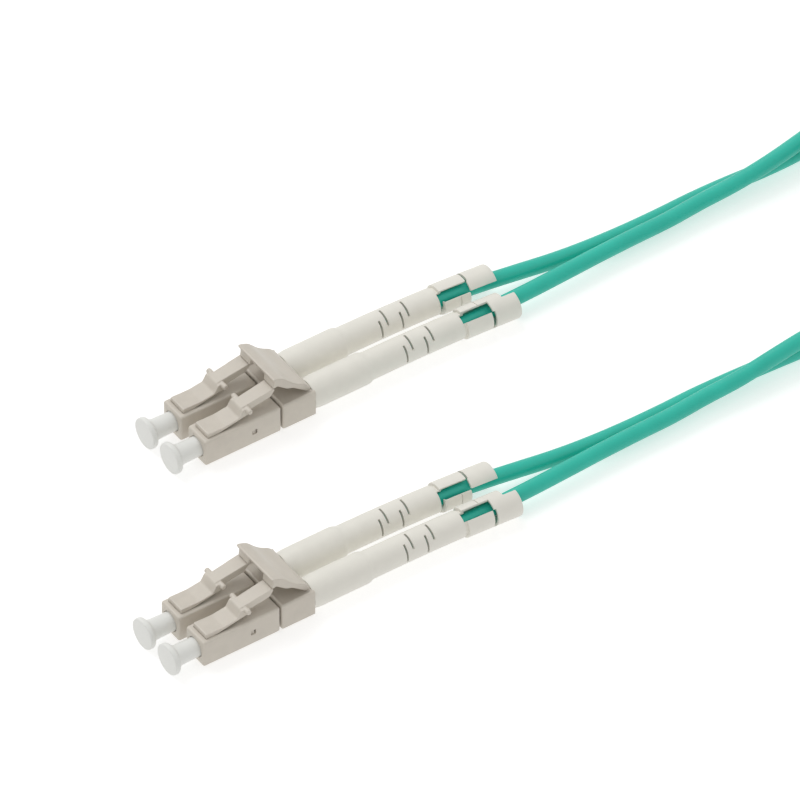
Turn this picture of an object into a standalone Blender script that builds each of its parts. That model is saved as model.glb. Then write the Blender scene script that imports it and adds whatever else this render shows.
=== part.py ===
"""Duplex fibre optic patch cord: two plugs at each end, in a clip with a shared trigger, and 1 m of zip cord.

Every plug is modelled once in its own frame: X runs from the front face of its housing towards the cable, Y towards
the far plug of the pair, and Z up to the latch. The four plugs and the two ends are then placed from that frame.
Angles round a boot start at -Y and turn over the top.
"""

import math

import bmesh
import bpy
import numpy as np
from mathutils import Matrix, Vector

MM = 0.001

# How the two ends lie
PLUG_PITCH = 6.25 * MM
END_SHIFT_X = -23.2 * MM
END_SHIFT_Y = -33.8 * MM

# Clearances
SEAT_GAP = 0.3 * MM  # between pieces that butt or bear on each other
FIT_GAP = 0.1 * MM  # round the small turned pieces inside a plug

# Housing
BODY_LENGTH = 13.0 * MM
BODY_WIDTH = 4.5 * MM
BODY_FILLET = 0.35 * MM
FRONT_BORE_RADIUS = 1.65 * MM
FRONT_BORE_DEPTH = 3.8 * MM
FRONT_BORE_CHAMFER = 0.15 * MM
STOP_WALL = 0.8 * MM
REAR_BORE_RADIUS = 1.85 * MM
WINDOW_CENTRE = 8.45 * MM
WINDOW_LENGTH = 0.7 * MM
WINDOW_HEIGHT = 1.2 * MM

# Ferrule, its holder and its spring
FERRULE_RADIUS = 0.625 * MM
FERRULE_LENGTH = 6.4 * MM
FERRULE_REACH = 2.0 * MM
HOLDER_SLEEVE_RADIUS = 1.0 * MM
HOLDER_GRIP = 1.5 * MM
HOLDER_FLANGE_RADIUS = 1.5 * MM
HOLDER_FLANGE_LENGTH = 1.2 * MM
HOLDER_RUNNING_GAP = 0.15 * MM
HOLDER_TAIL_RADIUS = 0.7 * MM
HOLDER_TAIL_LENGTH = 2.9 * MM
SPRING_WIRE = 0.3 * MM
SPRING_RADIUS = 1.1 * MM
SPRING_TURNS = 5
SPRING_POINTS = 8

# Rear body and crimp sleeve
REAR_BODY_FRONT = 7.2 * MM
REAR_BODY_WALL = 0.2 * MM
SPRING_SEAT = 11.7 * MM
REAR_BODY_SHOULDER = 12.7 * MM
STEM_RADIUS = 1.3 * MM
STEM_END = 24.0 * MM
BUFFER_RADIUS = 0.45 * MM
BUFFER_GAP = 0.9 * MM  # room for the holder to slide back
LUG_DEPTH = 0.2 * MM
SLEEVE_WALL = 0.25 * MM
SLEEVE_OVERHANG = 1.6 * MM

# Latch arm
LATCH_FRONT = 0.87 * MM
LATCH_SEAT_DEPTH = 0.35 * MM
LATCH_SEAT_GAP = 0.15 * MM
LATCH_HALF_WIDTH = 1.6 * MM
LATCH_PAD_TOP = 2.9 * MM
LATCH_PAD_END = 3.9 * MM
LATCH_RAMP_END = 6.25 * MM
LATCH_RAMP_TOP = 3.3 * MM
LATCH_STEP = 0.7 * MM
LATCH_SHOULDER = 8.0 * MM
LATCH_SHOULDER_TOP = 4.4 * MM
CROSSBAR_RADIUS = 0.45 * MM
CROSSBAR_HALF = 2.15 * MM
LATCH_TAIL_END = 12.5 * MM
LATCH_TAIL_TOP = 5.35 * MM
LATCH_TAIL_THICKNESS = 1.2 * MM
LATCH_TAIL_HALF = 1.15 * MM
LATCH_UNDERCUT = 1.15 * MM  # thickness of the arm at its shoulder
LATCH_EDGE = 0.12 * MM
LATCH_PIVOT_X = 2.0 * MM
LATCH_PIVOT_Z = 2.4 * MM

# Duplex clip and trigger
CLIP_LENGTH = 5.6 * MM
CLIP_SIDE = 2.25 * MM  # from a plug's axis to the clip's side, top and bottom
CLIP_FILLET = 0.35 * MM
CLIP_BORE_GAP = 0.3 * MM
CLIP_WELL_DEPTH = 0.4 * MM
CLIP_SIDE_WALL = 0.4 * MM
CLIP_FRONT_WALL = 0.35 * MM
TRIGGER_OVERHANG = 1.33 * MM  # past each plug's axis
TRIGGER_PAD_HALF = 1.2 * MM
TRIGGER_PAD_SIZE = 0.85 * MM
TRIGGER_PAD_GRIP = 0.2 * MM  # of the latch tail under the pad
TRIGGER_LIP_TOP = 7.25 * MM
TRIGGER_THICKNESS = 1.1 * MM
TRIGGER_EDGE = 0.15 * MM
TRIGGER_PIVOT_BACK = 1.0 * MM
TRIGGER_PIVOT_Z = 2.6 * MM

# Boot
BOOT_FRONT_RADIUS = 2.45 * MM
BOOT_FRONT_LENGTH = 9.2 * MM
BOOT_CHAMFER = 0.3 * MM
BOOT_STEP = 0.6 * MM
BOOT_NECK_RADIUS = 2.175 * MM
BOOT_TUBE_END = 25.5 * MM  # from the boot's front, as the next lengths
BOOT_END_RADIUS = 2.1 * MM
BOOT_FLEX_RINGS = (14.8 * MM, 18.0 * MM, 22.8 * MM)
BOOT_BORE_RADIUS = 1.55 * MM
BOOT_SIDES = 20
SLOT_WIDTH = 0.3 * MM
SLOT_ARC = 78.0
FRONT_SLOTS = (15.6 * MM, 19.1 * MM)
FRONT_SLOT_CENTRE = 22.0
REAR_SLOTS = (16.75 * MM, 20.25 * MM)
REAR_SLOT_CENTRE = 67.0
COLLAR_RADIUS = 2.35 * MM
COLLAR_LENGTH = 4.1 * MM
COLLAR_CHAMFER = 0.25 * MM
CHANNEL_LENGTH = 4.5 * MM
TAIL_SLOT = 0.6 * MM
TAIL_BORE_RADIUS = 2.0 * MM
TAIL_END_WALL = 0.4 * MM  # from the tube's end to the tail's bore
TAIL_SIDE = -23.0  # middle of the side that is joined to the boot's tube
TAIL_WINDOW_ARC = 46.0
TAIL_BRIDGE_ARC = 45.0
SLOT_OVERRUN = 1.0  # past the half wall's edge
COLLAR_ARC = 214.0
BOOT_TURN = {"near": 0.0, "far": 161.5}  # the boots aren't keyed to their plugs
BOOT_LEAN = {"near": 0.9 * MM, "far": 1.1 * MM}  # how far each boot's end has bent towards -Y
LEAN_START = 30.0 * MM

# Dust cap
CAP_FLANGE_RADIUS = 2.2 * MM
CAP_FRONT = 4.74 * MM
CAP_RIM = 0.5 * MM
CAP_FILLET = 0.75 * MM
CAP_BARREL_RADIUS = 1.5 * MM
CAP_MOUTH_RADIUS = 1.37 * MM
CAP_DEPTH = 2.5 * MM
CAP_BORE_RADIUS = 0.8 * MM
CAP_TIP_GAP = 0.6 * MM

# Cord
JACKET_RADIUS = 1.2 * MM
STRAND_PITCH = 2.7 * MM
CORD_SPACING = 6.0 * MM
CORD_FLOAT = 0.35 * MM  # height of the coil over the surface it lies on, which its tie needs
COIL_CENTRE_X = 143.3 * MM
COIL_CENTRE_Y = -15.0 * MM
COIL_INNER_RADIUS = 20.95 * MM
COIL_PITCH = 2.9 * MM
COIL_LAYER = 5.5 * MM
COIL_ENTRY = 114.0
COIL_TURNS = 4.625
COIL_POINTS = 24
BENT_PARTS = 4  # stretches that a cord's bent way through its boot's tube is laid in

PLUG_SIDES = 16
ARC_STEP = 13.0

CLIP_FRONT = BODY_LENGTH + SEAT_GAP
CLIP_REAR = CLIP_FRONT + CLIP_LENGTH
BOOT_START = CLIP_REAR + SEAT_GAP
BOOT_END = BOOT_START + BOOT_TUBE_END + CHANNEL_LENGTH + TAIL_SLOT + COLLAR_LENGTH
JACKET_START = STEM_END + SEAT_GAP
TUBE_END = BOOT_START + BOOT_TUBE_END
FLOOR_DROP = max(BOOT_FRONT_RADIUS, COLLAR_RADIUS)  # from a plug's axis to the surface that the boots lie on
FLANGE_FRONT = FRONT_BORE_DEPTH + STOP_WALL + SEAT_GAP
FLANGE_REAR = FLANGE_FRONT + HOLDER_FLANGE_LENGTH
TAIL_REAR = FLANGE_REAR + HOLDER_TAIL_LENGTH
LATCH_BOTTOM = BODY_WIDTH / 2 - LATCH_SEAT_DEPTH + LATCH_SEAT_GAP

# Places of the two ends, and the shift that puts the middle of the plugs' box over the part's origin
ENDS = {"a": Vector((0, 0, 0)), "b": Vector((END_SHIFT_X, END_SHIFT_Y, 0))}
PLUGS = {"near": 0.0, "far": PLUG_PITCH}
ORIGIN = Vector((
    (END_SHIFT_X - CAP_FRONT + BOOT_END) / 2,
    (END_SHIFT_Y + PLUG_PITCH) / 2,
    -FLOOR_DROP,
))

# The cord's route, in millimetres in the frame of the end's near plug. The two legs join behind the boots.
NEAR_LEG = [(54, -0.2, 0.0), (58, -0.1, 0.02), (64, 0.15, 0.08), (70, 0.45, 0.1), (76, 0.65, 0.12),
            (82, 0.75, 0.15)]
FAR_LEG = [(54, 4.72, 0.0), (58, 4.25, -0.2), (64, 3.73, -0.7), (70, 3.43, -1.05), (76, 3.23, -1.15),
           (82, 3.25, -1.2)]
# The pair from there on: x, y of its middle, height of its lower strand over the lowest, and lean from upright.
PAIR_A = [(88, 2.26, 0.05, 57), (94, 2.2, 0.1, 49), (100, 2.15, 0.15, 31), (106, 2.55, 0.25, 12),
          (112, 3.48, 0.35, 0), (118, 4.92, 0.35, 0), (124, 6.86, 0.35, 0)]
PAIR_B = [(88, 2.26, 0.05, 57), (94, 2.2, 0.1, 49), (100, 2.2, 0.15, 31), (106, 2.2, 0.25, 12),
          (112, 2.16, 0.35, 0), (118, 1.85, 0.45, 0), (124, 1.26, 1.05, 0), (130, 0.38, 2.15, 0),
          (136, -0.79, 3.45, 0), (142, -2.25, 4.65, 0), (148, -4.0, 5.55, 0)]


# ---------------------------------------------------------------- tools

def clear_objects():
    for old in list(bpy.data.objects):
        bpy.data.objects.remove(old, do_unlink=True)


def material(name, colour, roughness, metallic=0.0):
    made = bpy.data.materials.new(name)
    made.use_nodes = True
    shader = made.node_tree.nodes["Principled BSDF"]
    shader.inputs["Base Color"].default_value = (*colour, 1.0)
    shader.inputs["Roughness"].default_value = roughness
    shader.inputs["Metallic"].default_value = metallic
    made.diffuse_color = (*colour, 1.0)
    return made


def prism(outline, axis, low, high):
    """An outline made solid along an axis: it is in (y, z), (x, z) or (x, y) for the axes X, Y and Z."""
    place = {
        "X": lambda a, b, depth: (depth, a, b),
        "Y": lambda a, b, depth: (a, depth, b),
        "Z": lambda a, b, depth: (a, b, depth),
    }[axis]
    bm = bmesh.new()
    face = bm.faces.new([bm.verts.new(place(a, b, low)) for a, b in outline])
    raised = bmesh.ops.extrude_face_region(bm, geom=[face])["geom"]
    top = [item for item in raised if isinstance(item, bmesh.types.BMVert)]
    bmesh.ops.translate(bm, verts=top, vec=place(0, 0, high - low))
    bmesh.ops.recalc_face_normals(bm, faces=bm.faces)
    return bm


def block(low, high):
    """A box between two corners."""
    corners = [(low[0], low[1]), (high[0], low[1]), (high[0], high[1]), (low[0], high[1])]
    return prism(corners, "Z", low[2], high[2])


def turned(profile, sides=PLUG_SIDES, closed=True):
    """A profile of (x, radius) turned round the X axis. A closed one is a tube, an open one ends on the axis."""
    bm = bmesh.new()
    points = [bm.verts.new((x, -radius, 0)) for x, radius in profile]
    pairs = list(zip(points, points[1:]))
    if closed:
        pairs.append((points[-1], points[0]))
    edges = [bm.edges.new(pair) for pair in pairs]
    bmesh.ops.spin(bm, geom=points + edges, cent=(0, 0, 0), axis=(1, 0, 0), angle=math.tau, steps=sides,
                   use_merge=True)
    bmesh.ops.remove_doubles(bm, verts=bm.verts, dist=1e-7)
    bmesh.ops.recalc_face_normals(bm, faces=bm.faces)
    return bm


def sector(low, high, start, end, inner, outer):
    """Part of a ring round the X axis, as a cutter."""
    steps = math.ceil((end - start) / ARC_STEP)
    angles = [math.radians(start + (end - start) * step / steps) for step in range(steps + 1)]
    outline = [(-outer * math.cos(a), outer * math.sin(a)) for a in angles]
    outline += [(-inner * math.cos(a), inner * math.sin(a)) for a in reversed(angles)]
    return prism(outline, "X", low, high)


def round_edges(bm, radius, chosen=None, segments=1):
    edges = [edge for edge in bm.edges if chosen is None or chosen(edge)]
    bmesh.ops.bevel(bm, geom=edges, offset=radius, offset_type="OFFSET", segments=segments, profile=0.5,
                    affect="EDGES", material=-1, clamp_overlap=True)
    return bm


def runs_along(axis):
    """Picks the edges that run along an axis."""
    return lambda edge: abs((edge.verts[1].co - edge.verts[0].co).normalized()[axis]) > 0.999


def as_object(bm, name):
    mesh = bpy.data.meshes.new(name)
    bm.to_mesh(mesh)
    bm.free()
    made = bpy.data.objects.new(name, mesh)
    bpy.context.scene.collection.objects.link(made)
    return made


def combined(name, blank, operation, others):
    """The mesh that is left when the other solids are cut from the blank, or joined to it."""
    base = as_object(blank, name)
    helpers = [as_object(bm, name + "_tool") for bm in others]
    for helper in helpers:
        step = base.modifiers.new("shape", "BOOLEAN")
        step.operation = operation
        step.solver = "EXACT"
        step.object = helper
    evaluated = base.evaluated_get(bpy.context.evaluated_depsgraph_get())
    mesh = bpy.data.meshes.new_from_object(evaluated)
    for used in [base, *helpers]:
        bpy.data.objects.remove(used, do_unlink=True)
    return mesh


def mesh_to_bmesh(mesh):
    bm = bmesh.new()
    bm.from_mesh(mesh)
    return bm


def plain(name, bm):
    mesh = bpy.data.meshes.new(name)
    bm.to_mesh(mesh)
    bm.free()
    return mesh


def place(name, mesh, finish, at, pivot=(0, 0, 0)):
    """One piece: its mesh is in the plug's frame, and its object's origin is at the pivot."""
    mesh = mesh.copy()
    mesh.name = name
    mesh.transform(Matrix.Translation(-Vector(pivot)))
    mesh.materials.clear()
    mesh.materials.append(finish)
    mesh.shade_smooth()
    mesh.set_sharp_from_angle(angle=math.radians(30))
    piece = bpy.data.objects.new(name, mesh)
    piece.location = Vector(at) + Vector(pivot) - ORIGIN
    bpy.context.scene.collection.objects.link(piece)
    return piece


def tube(name, points, radius, resolution, finish):
    """A round tube along points in the world."""
    curve = bpy.data.curves.new(name, "CURVE")
    curve.dimensions = "3D"
    curve.bevel_depth = radius
    curve.bevel_resolution = resolution
    curve.use_fill_caps = True
    spline = curve.splines.new("POLY")
    spline.points.add(len(points) - 1)
    for point, (x, y, z) in zip(spline.points, points):
        point.co = (x, y, z, 1)
    curve.materials.append(finish)
    made = bpy.data.objects.new(name, curve)
    bpy.context.scene.collection.objects.link(made)
    return made


def least_gap(points, radius):
    """The least gap between a tube's turns, measured on its points: stretches next to each other don't count."""
    points = np.array(points)
    along = np.concatenate([[0], np.cumsum(np.linalg.norm(np.diff(points, axis=0), axis=1))])
    distance = np.linalg.norm(points[:, None] - points[None, :], axis=2)
    apart = np.abs(along[:, None] - along[None, :]) > 8 * radius
    return distance[apart].min() - 2 * radius


# ---------------------------------------------------------------- plug

def housing_shape():
    half = BODY_WIDTH / 2
    body = block((0, -half, -half), (BODY_LENGTH, half, half))
    round_edges(body, BODY_FILLET, runs_along(0), segments=2)
    bore = turned([
        (-SEAT_GAP, 0),
        (-SEAT_GAP, FRONT_BORE_RADIUS + FRONT_BORE_CHAMFER + SEAT_GAP),
        (FRONT_BORE_CHAMFER, FRONT_BORE_RADIUS),
        (FRONT_BORE_DEPTH, FRONT_BORE_RADIUS),
        (FRONT_BORE_DEPTH, HOLDER_SLEEVE_RADIUS + 2 * FIT_GAP),
        (FRONT_BORE_DEPTH + STOP_WALL, HOLDER_SLEEVE_RADIUS + 2 * FIT_GAP),
        (FRONT_BORE_DEPTH + STOP_WALL, HOLDER_FLANGE_RADIUS + HOLDER_RUNNING_GAP),
        (REAR_BODY_FRONT - SEAT_GAP, HOLDER_FLANGE_RADIUS + HOLDER_RUNNING_GAP),
        (REAR_BODY_FRONT - SEAT_GAP, REAR_BORE_RADIUS),
        (BODY_LENGTH + SEAT_GAP, REAR_BORE_RADIUS),
        (BODY_LENGTH + SEAT_GAP, 0),
    ], closed=False)
    side = half + SEAT_GAP
    window = block((WINDOW_CENTRE - WINDOW_LENGTH / 2, -side, -WINDOW_HEIGHT / 2),
                   (WINDOW_CENTRE + WINDOW_LENGTH / 2, side, WINDOW_HEIGHT / 2))
    seat_half = LATCH_HALF_WIDTH + LATCH_SEAT_GAP
    seat = block((LATCH_FRONT - LATCH_SEAT_GAP - FIT_GAP, -seat_half, half - LATCH_SEAT_DEPTH),
                 (REAR_BODY_FRONT - 2 * SEAT_GAP, seat_half, side))
    return combined("housing", body, "DIFFERENCE", [bore, window, seat])


def latch_shape():
    """The arm: a pad and ramp on the housing's front, a step with a crossbar, and the tail that is pressed."""
    ramp = prism([
        (LATCH_FRONT, LATCH_BOTTOM),
        (LATCH_FRONT, LATCH_PAD_TOP - LATCH_EDGE / 2),
        (LATCH_PAD_END, LATCH_PAD_TOP),
        (LATCH_RAMP_END, LATCH_RAMP_TOP),
        (LATCH_RAMP_END + LATCH_STEP, LATCH_SHOULDER_TOP - CROSSBAR_RADIUS),
        (LATCH_SHOULDER, LATCH_SHOULDER_TOP - CROSSBAR_RADIUS),
        (LATCH_SHOULDER, LATCH_SHOULDER_TOP - LATCH_UNDERCUT),
        (LATCH_PIVOT_X, LATCH_BOTTOM),
    ], "Y", -LATCH_HALF_WIDTH, LATCH_HALF_WIDTH)
    round_edges(ramp, LATCH_EDGE)
    middle = (LATCH_SHOULDER - CROSSBAR_RADIUS, LATCH_SHOULDER_TOP - CROSSBAR_RADIUS)
    turn = [math.tau * step / 8 for step in range(8)]
    ring = [(middle[0] + CROSSBAR_RADIUS * math.cos(a), middle[1] + CROSSBAR_RADIUS * math.sin(a)) for a in turn]
    crossbar = prism(ring, "Y", -CROSSBAR_HALF, CROSSBAR_HALF)
    round_edges(crossbar, LATCH_EDGE, lambda edge: not runs_along(1)(edge))
    tail = prism([
        (LATCH_RAMP_END + LATCH_EDGE, LATCH_RAMP_TOP - LATCH_EDGE),
        (LATCH_RAMP_END + LATCH_STEP, LATCH_SHOULDER_TOP),
        (LATCH_TAIL_END - LATCH_EDGE, LATCH_TAIL_TOP),
        (LATCH_TAIL_END, LATCH_TAIL_TOP - 2 * LATCH_EDGE),
        (LATCH_TAIL_END - LATCH_TAIL_THICKNESS / 2, LATCH_TAIL_TOP - LATCH_TAIL_THICKNESS),
        (LATCH_SHOULDER, LATCH_SHOULDER_TOP - LATCH_UNDERCUT + LATCH_EDGE),
        (LATCH_RAMP_END + 2 * LATCH_EDGE, LATCH_RAMP_TOP - 3 * LATCH_EDGE),
    ], "Y", -LATCH_TAIL_HALF, LATCH_TAIL_HALF)
    round_edges(tail, LATCH_EDGE)
    return combined("latch_arm", ramp, "UNION", [crossbar, tail])


def dust_cap_shape():
    barrel_start = -CAP_FRONT + CAP_RIM + CAP_FILLET
    rim_bevel = CAP_RIM / 4
    return plain("dust_cap", turned([
        (-CAP_FRONT, 0),
        (-CAP_FRONT, CAP_FLANGE_RADIUS - rim_bevel),
        (-CAP_FRONT + rim_bevel, CAP_FLANGE_RADIUS),
        (-CAP_FRONT + CAP_RIM, CAP_FLANGE_RADIUS),
        (-CAP_FRONT + CAP_RIM + CAP_FILLET / 3, (CAP_FLANGE_RADIUS + CAP_BARREL_RADIUS) / 2),
        (barrel_start, CAP_BARREL_RADIUS),
        (0, CAP_MOUTH_RADIUS),
        (CAP_DEPTH, CAP_MOUTH_RADIUS - FIT_GAP / 2),
        (CAP_DEPTH, CAP_BORE_RADIUS),
        (-FERRULE_REACH - CAP_TIP_GAP, CAP_BORE_RADIUS),
        (-FERRULE_REACH - CAP_TIP_GAP, 0),
    ], sides=24, closed=False))


def ferrule_shape():
    bevel = FIT_GAP
    rear = FERRULE_LENGTH - FERRULE_REACH
    return plain("ferrule", turned([
        (-FERRULE_REACH, 0),
        (-FERRULE_REACH, FERRULE_RADIUS - bevel),
        (-FERRULE_REACH + 2 * bevel, FERRULE_RADIUS),
        (rear, FERRULE_RADIUS),
        (rear, 0),
    ], closed=False))


def holder_shape():
    front = FERRULE_LENGTH - FERRULE_REACH - HOLDER_GRIP
    socket_end = FERRULE_LENGTH - FERRULE_REACH + SEAT_GAP
    return plain("ferrule_holder", turned([
        (socket_end, 0),
        (socket_end, FERRULE_RADIUS + FIT_GAP),
        (front, FERRULE_RADIUS + FIT_GAP),
        (front, HOLDER_SLEEVE_RADIUS),
        (FLANGE_FRONT, HOLDER_SLEEVE_RADIUS),
        (FLANGE_FRONT, HOLDER_FLANGE_RADIUS),
        (FLANGE_REAR, HOLDER_FLANGE_RADIUS),
        (FLANGE_REAR, HOLDER_TAIL_RADIUS),
        (TAIL_REAR, HOLDER_TAIL_RADIUS),
        (TAIL_REAR, 0),
    ], closed=False))


def spring_points():
    """A helix between the holder's flange and its seat in the rear body, with a straight stub at each end."""
    start = FLANGE_REAR + SEAT_GAP / 2 + SPRING_WIRE
    length = SPRING_SEAT - SEAT_GAP / 2 - SPRING_WIRE - start
    count = SPRING_TURNS * SPRING_POINTS
    coil = []
    for step in range(count + 1):
        angle = math.tau * step / SPRING_POINTS
        coil.append((start + length * step / count, SPRING_RADIUS * math.cos(angle), SPRING_RADIUS * math.sin(angle)))
    first = (start - SPRING_WIRE, coil[0][1], coil[0][2])
    last = (coil[-1][0] + SPRING_WIRE, coil[-1][1], coil[-1][2])
    return [first, *coil, last]


def rear_body_shape():
    """The spring's cup, with two snap lugs in the housing's windows, and the stem that the sleeve is crimped on."""
    cup_bore = SPRING_RADIUS + SPRING_WIRE / 2 + FIT_GAP
    cup_radius = cup_bore + REAR_BODY_WALL
    fibre_bore = BUFFER_RADIUS + SEAT_GAP
    body = turned([
        (REAR_BODY_FRONT, cup_bore),
        (REAR_BODY_FRONT, cup_radius),
        (REAR_BODY_SHOULDER, cup_radius),
        (REAR_BODY_SHOULDER, STEM_RADIUS),
        (STEM_END, STEM_RADIUS),
        (STEM_END, fibre_bore),
        (SPRING_SEAT, fibre_bore),
        (SPRING_SEAT, cup_bore),
    ])
    lug_end = BODY_WIDTH / 2 - LUG_DEPTH
    lug_root = (cup_radius + cup_bore) / 2
    long = WINDOW_LENGTH / 2 - FIT_GAP
    tall = WINDOW_HEIGHT / 2 - FIT_GAP
    lugs = [
        block((WINDOW_CENTRE - long, low, -tall), (WINDOW_CENTRE + long, high, tall))
        for low, high in ((-lug_end, -lug_root), (lug_root, lug_end))
    ]
    return combined("rear_body", body, "UNION", lugs)


def crimp_sleeve_shape():
    inner = STEM_RADIUS + FIT_GAP
    front = BOOT_START + SEAT_GAP
    rear = STEM_END + SLEEVE_OVERHANG
    return plain("crimp_sleeve", turned([
        (front, inner),
        (front, inner + SLEEVE_WALL),
        (rear, inner + SLEEVE_WALL),
        (rear, inner),
    ]))


# ---------------------------------------------------------------- boot

def boot_lean(x, plug):
    """How far a boot, and the cord in its tube, have bent aside at this distance along them."""
    return -BOOT_LEAN[plug] * (max(0.0, x - LEAN_START) / (BOOT_END - LEAN_START)) ** 2


def boot_shape():
    """A thick front, a slotted flex tube, and a tail of two half walls hung crosswise from tube and collar."""
    sleeve_bore = STEM_RADIUS + FIT_GAP + SLEEVE_WALL + SEAT_GAP
    sleeve_room = STEM_END + SLEEVE_OVERHANG + SEAT_GAP
    neck = BOOT_START + BOOT_FRONT_LENGTH + BOOT_STEP
    taper = (BOOT_END_RADIUS - BOOT_NECK_RADIUS) / (TUBE_END - neck)
    rings = [BOOT_START + ring for ring in BOOT_FLEX_RINGS]
    outer = [
        (BOOT_START, sleeve_bore),
        (BOOT_START, BOOT_FRONT_RADIUS - BOOT_CHAMFER),
        (BOOT_START + BOOT_CHAMFER, BOOT_FRONT_RADIUS),
        (neck - BOOT_STEP, BOOT_FRONT_RADIUS),
        (neck, BOOT_NECK_RADIUS),
        *[(x, BOOT_NECK_RADIUS + taper * (x - neck)) for x in rings],
        (TUBE_END, BOOT_END_RADIUS),
        (TUBE_END, COLLAR_RADIUS),
        (BOOT_END - COLLAR_CHAMFER, COLLAR_RADIUS),
        (BOOT_END, COLLAR_RADIUS - COLLAR_CHAMFER),
        (BOOT_END, TAIL_BORE_RADIUS),
        (TUBE_END + TAIL_END_WALL, TAIL_BORE_RADIUS),
        (TUBE_END + TAIL_END_WALL, BOOT_BORE_RADIUS),
    ]
    inner = [(x, BOOT_BORE_RADIUS) for x in reversed(rings)]
    inner += [(sleeve_room + SEAT_GAP, BOOT_BORE_RADIUS), (sleeve_room, sleeve_bore)]
    blank = turned(outer + inner, sides=BOOT_SIDES)
    return combined("boot", blank, "DIFFERENCE", flex_slots() + tail_cuts())


def flex_slots():
    """Narrow arcs through the tube's wall, in pairs on opposite sides, whose two rows overlap."""
    inner = BOOT_BORE_RADIUS / 2
    outer = BOOT_FRONT_RADIUS + SEAT_GAP
    cuts = []
    for places, centre in ((FRONT_SLOTS, FRONT_SLOT_CENTRE), (REAR_SLOTS, REAR_SLOT_CENTRE)):
        for along in places:
            low = BOOT_START + along - SLOT_WIDTH / 2
            for side in (0, 180):
                start = centre + side - SLOT_ARC / 2
                cuts.append(sector(low, low + SLOT_WIDTH, start, start + SLOT_ARC, inner, outer))
    return cuts


def tail_cuts():
    """Two windows, a slot behind each half wall's free end that leaves its bridge, and the collar's opening."""
    inner = BOOT_BORE_RADIUS / 2
    outer = COLLAR_RADIUS + SEAT_GAP
    channel_end = TUBE_END + CHANNEL_LENGTH
    half_wall = (180 - TAIL_WINDOW_ARC) / 2
    free_side = TAIL_SIDE + 180
    windows = [
        sector(TUBE_END, channel_end + TAIL_SLOT / 2, centre - TAIL_WINDOW_ARC / 2, centre + TAIL_WINDOW_ARC / 2,
               inner, outer)
        for centre in (TAIL_SIDE + 90, TAIL_SIDE + 270)
    ]
    joined_slot = sector(channel_end, channel_end + TAIL_SLOT, TAIL_SIDE - half_wall + TAIL_BRIDGE_ARC,
                         TAIL_SIDE - half_wall + 360 + SLOT_OVERRUN, inner, outer)
    free_slot = sector(TUBE_END, TUBE_END + TAIL_SLOT, free_side - half_wall + TAIL_BRIDGE_ARC,
                       free_side + half_wall + SLOT_OVERRUN, inner, outer)
    half_gap = (360 - COLLAR_ARC) / 2
    opening = sector(channel_end + TAIL_SLOT / 2, BOOT_END + SEAT_GAP, free_side - half_gap, free_side + half_gap,
                     inner, outer)
    return [*windows, joined_slot, free_slot, opening]


def bent_boot_shape(boot, plug):
    """A boot as it sits on its plug: turned round its axis, and bent aside."""
    bm = mesh_to_bmesh(boot)
    turn = Matrix.Rotation(-math.radians(BOOT_TURN[plug]), 3, "X")
    bmesh.ops.rotate(bm, cent=(0, 0, 0), matrix=turn, verts=bm.verts)
    for vert in bm.verts:
        vert.co.y += boot_lean(vert.co.x, plug)
    return plain("bent_boot", bm)


# ---------------------------------------------------------------- clip and trigger

def clip_shape():
    low = (CLIP_FRONT, -CLIP_SIDE, -CLIP_SIDE)
    high = (CLIP_REAR, PLUG_PITCH + CLIP_SIDE, CLIP_SIDE)
    body = round_edges(block(low, high), CLIP_FILLET, segments=2)
    bore_radius = STEM_RADIUS + CLIP_BORE_GAP
    ends = (CLIP_FRONT - SEAT_GAP, CLIP_REAR + SEAT_GAP)
    bores = []
    for across in PLUGS.values():
        bore = turned([(ends[0], 0), (ends[0], bore_radius), (ends[1], bore_radius), (ends[1], 0)], closed=False)
        bmesh.ops.translate(bore, verts=bore.verts, vec=(0, across, 0))
        bores.append(bore)
    well = block((CLIP_FRONT + CLIP_FRONT_WALL, low[1] + CLIP_SIDE_WALL, CLIP_SIDE - CLIP_WELL_DEPTH),
                 (ends[1], high[1] - CLIP_SIDE_WALL, CLIP_SIDE + SEAT_GAP))
    return combined("duplex_clip", body, "DIFFERENCE", [*bores, well])


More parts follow.
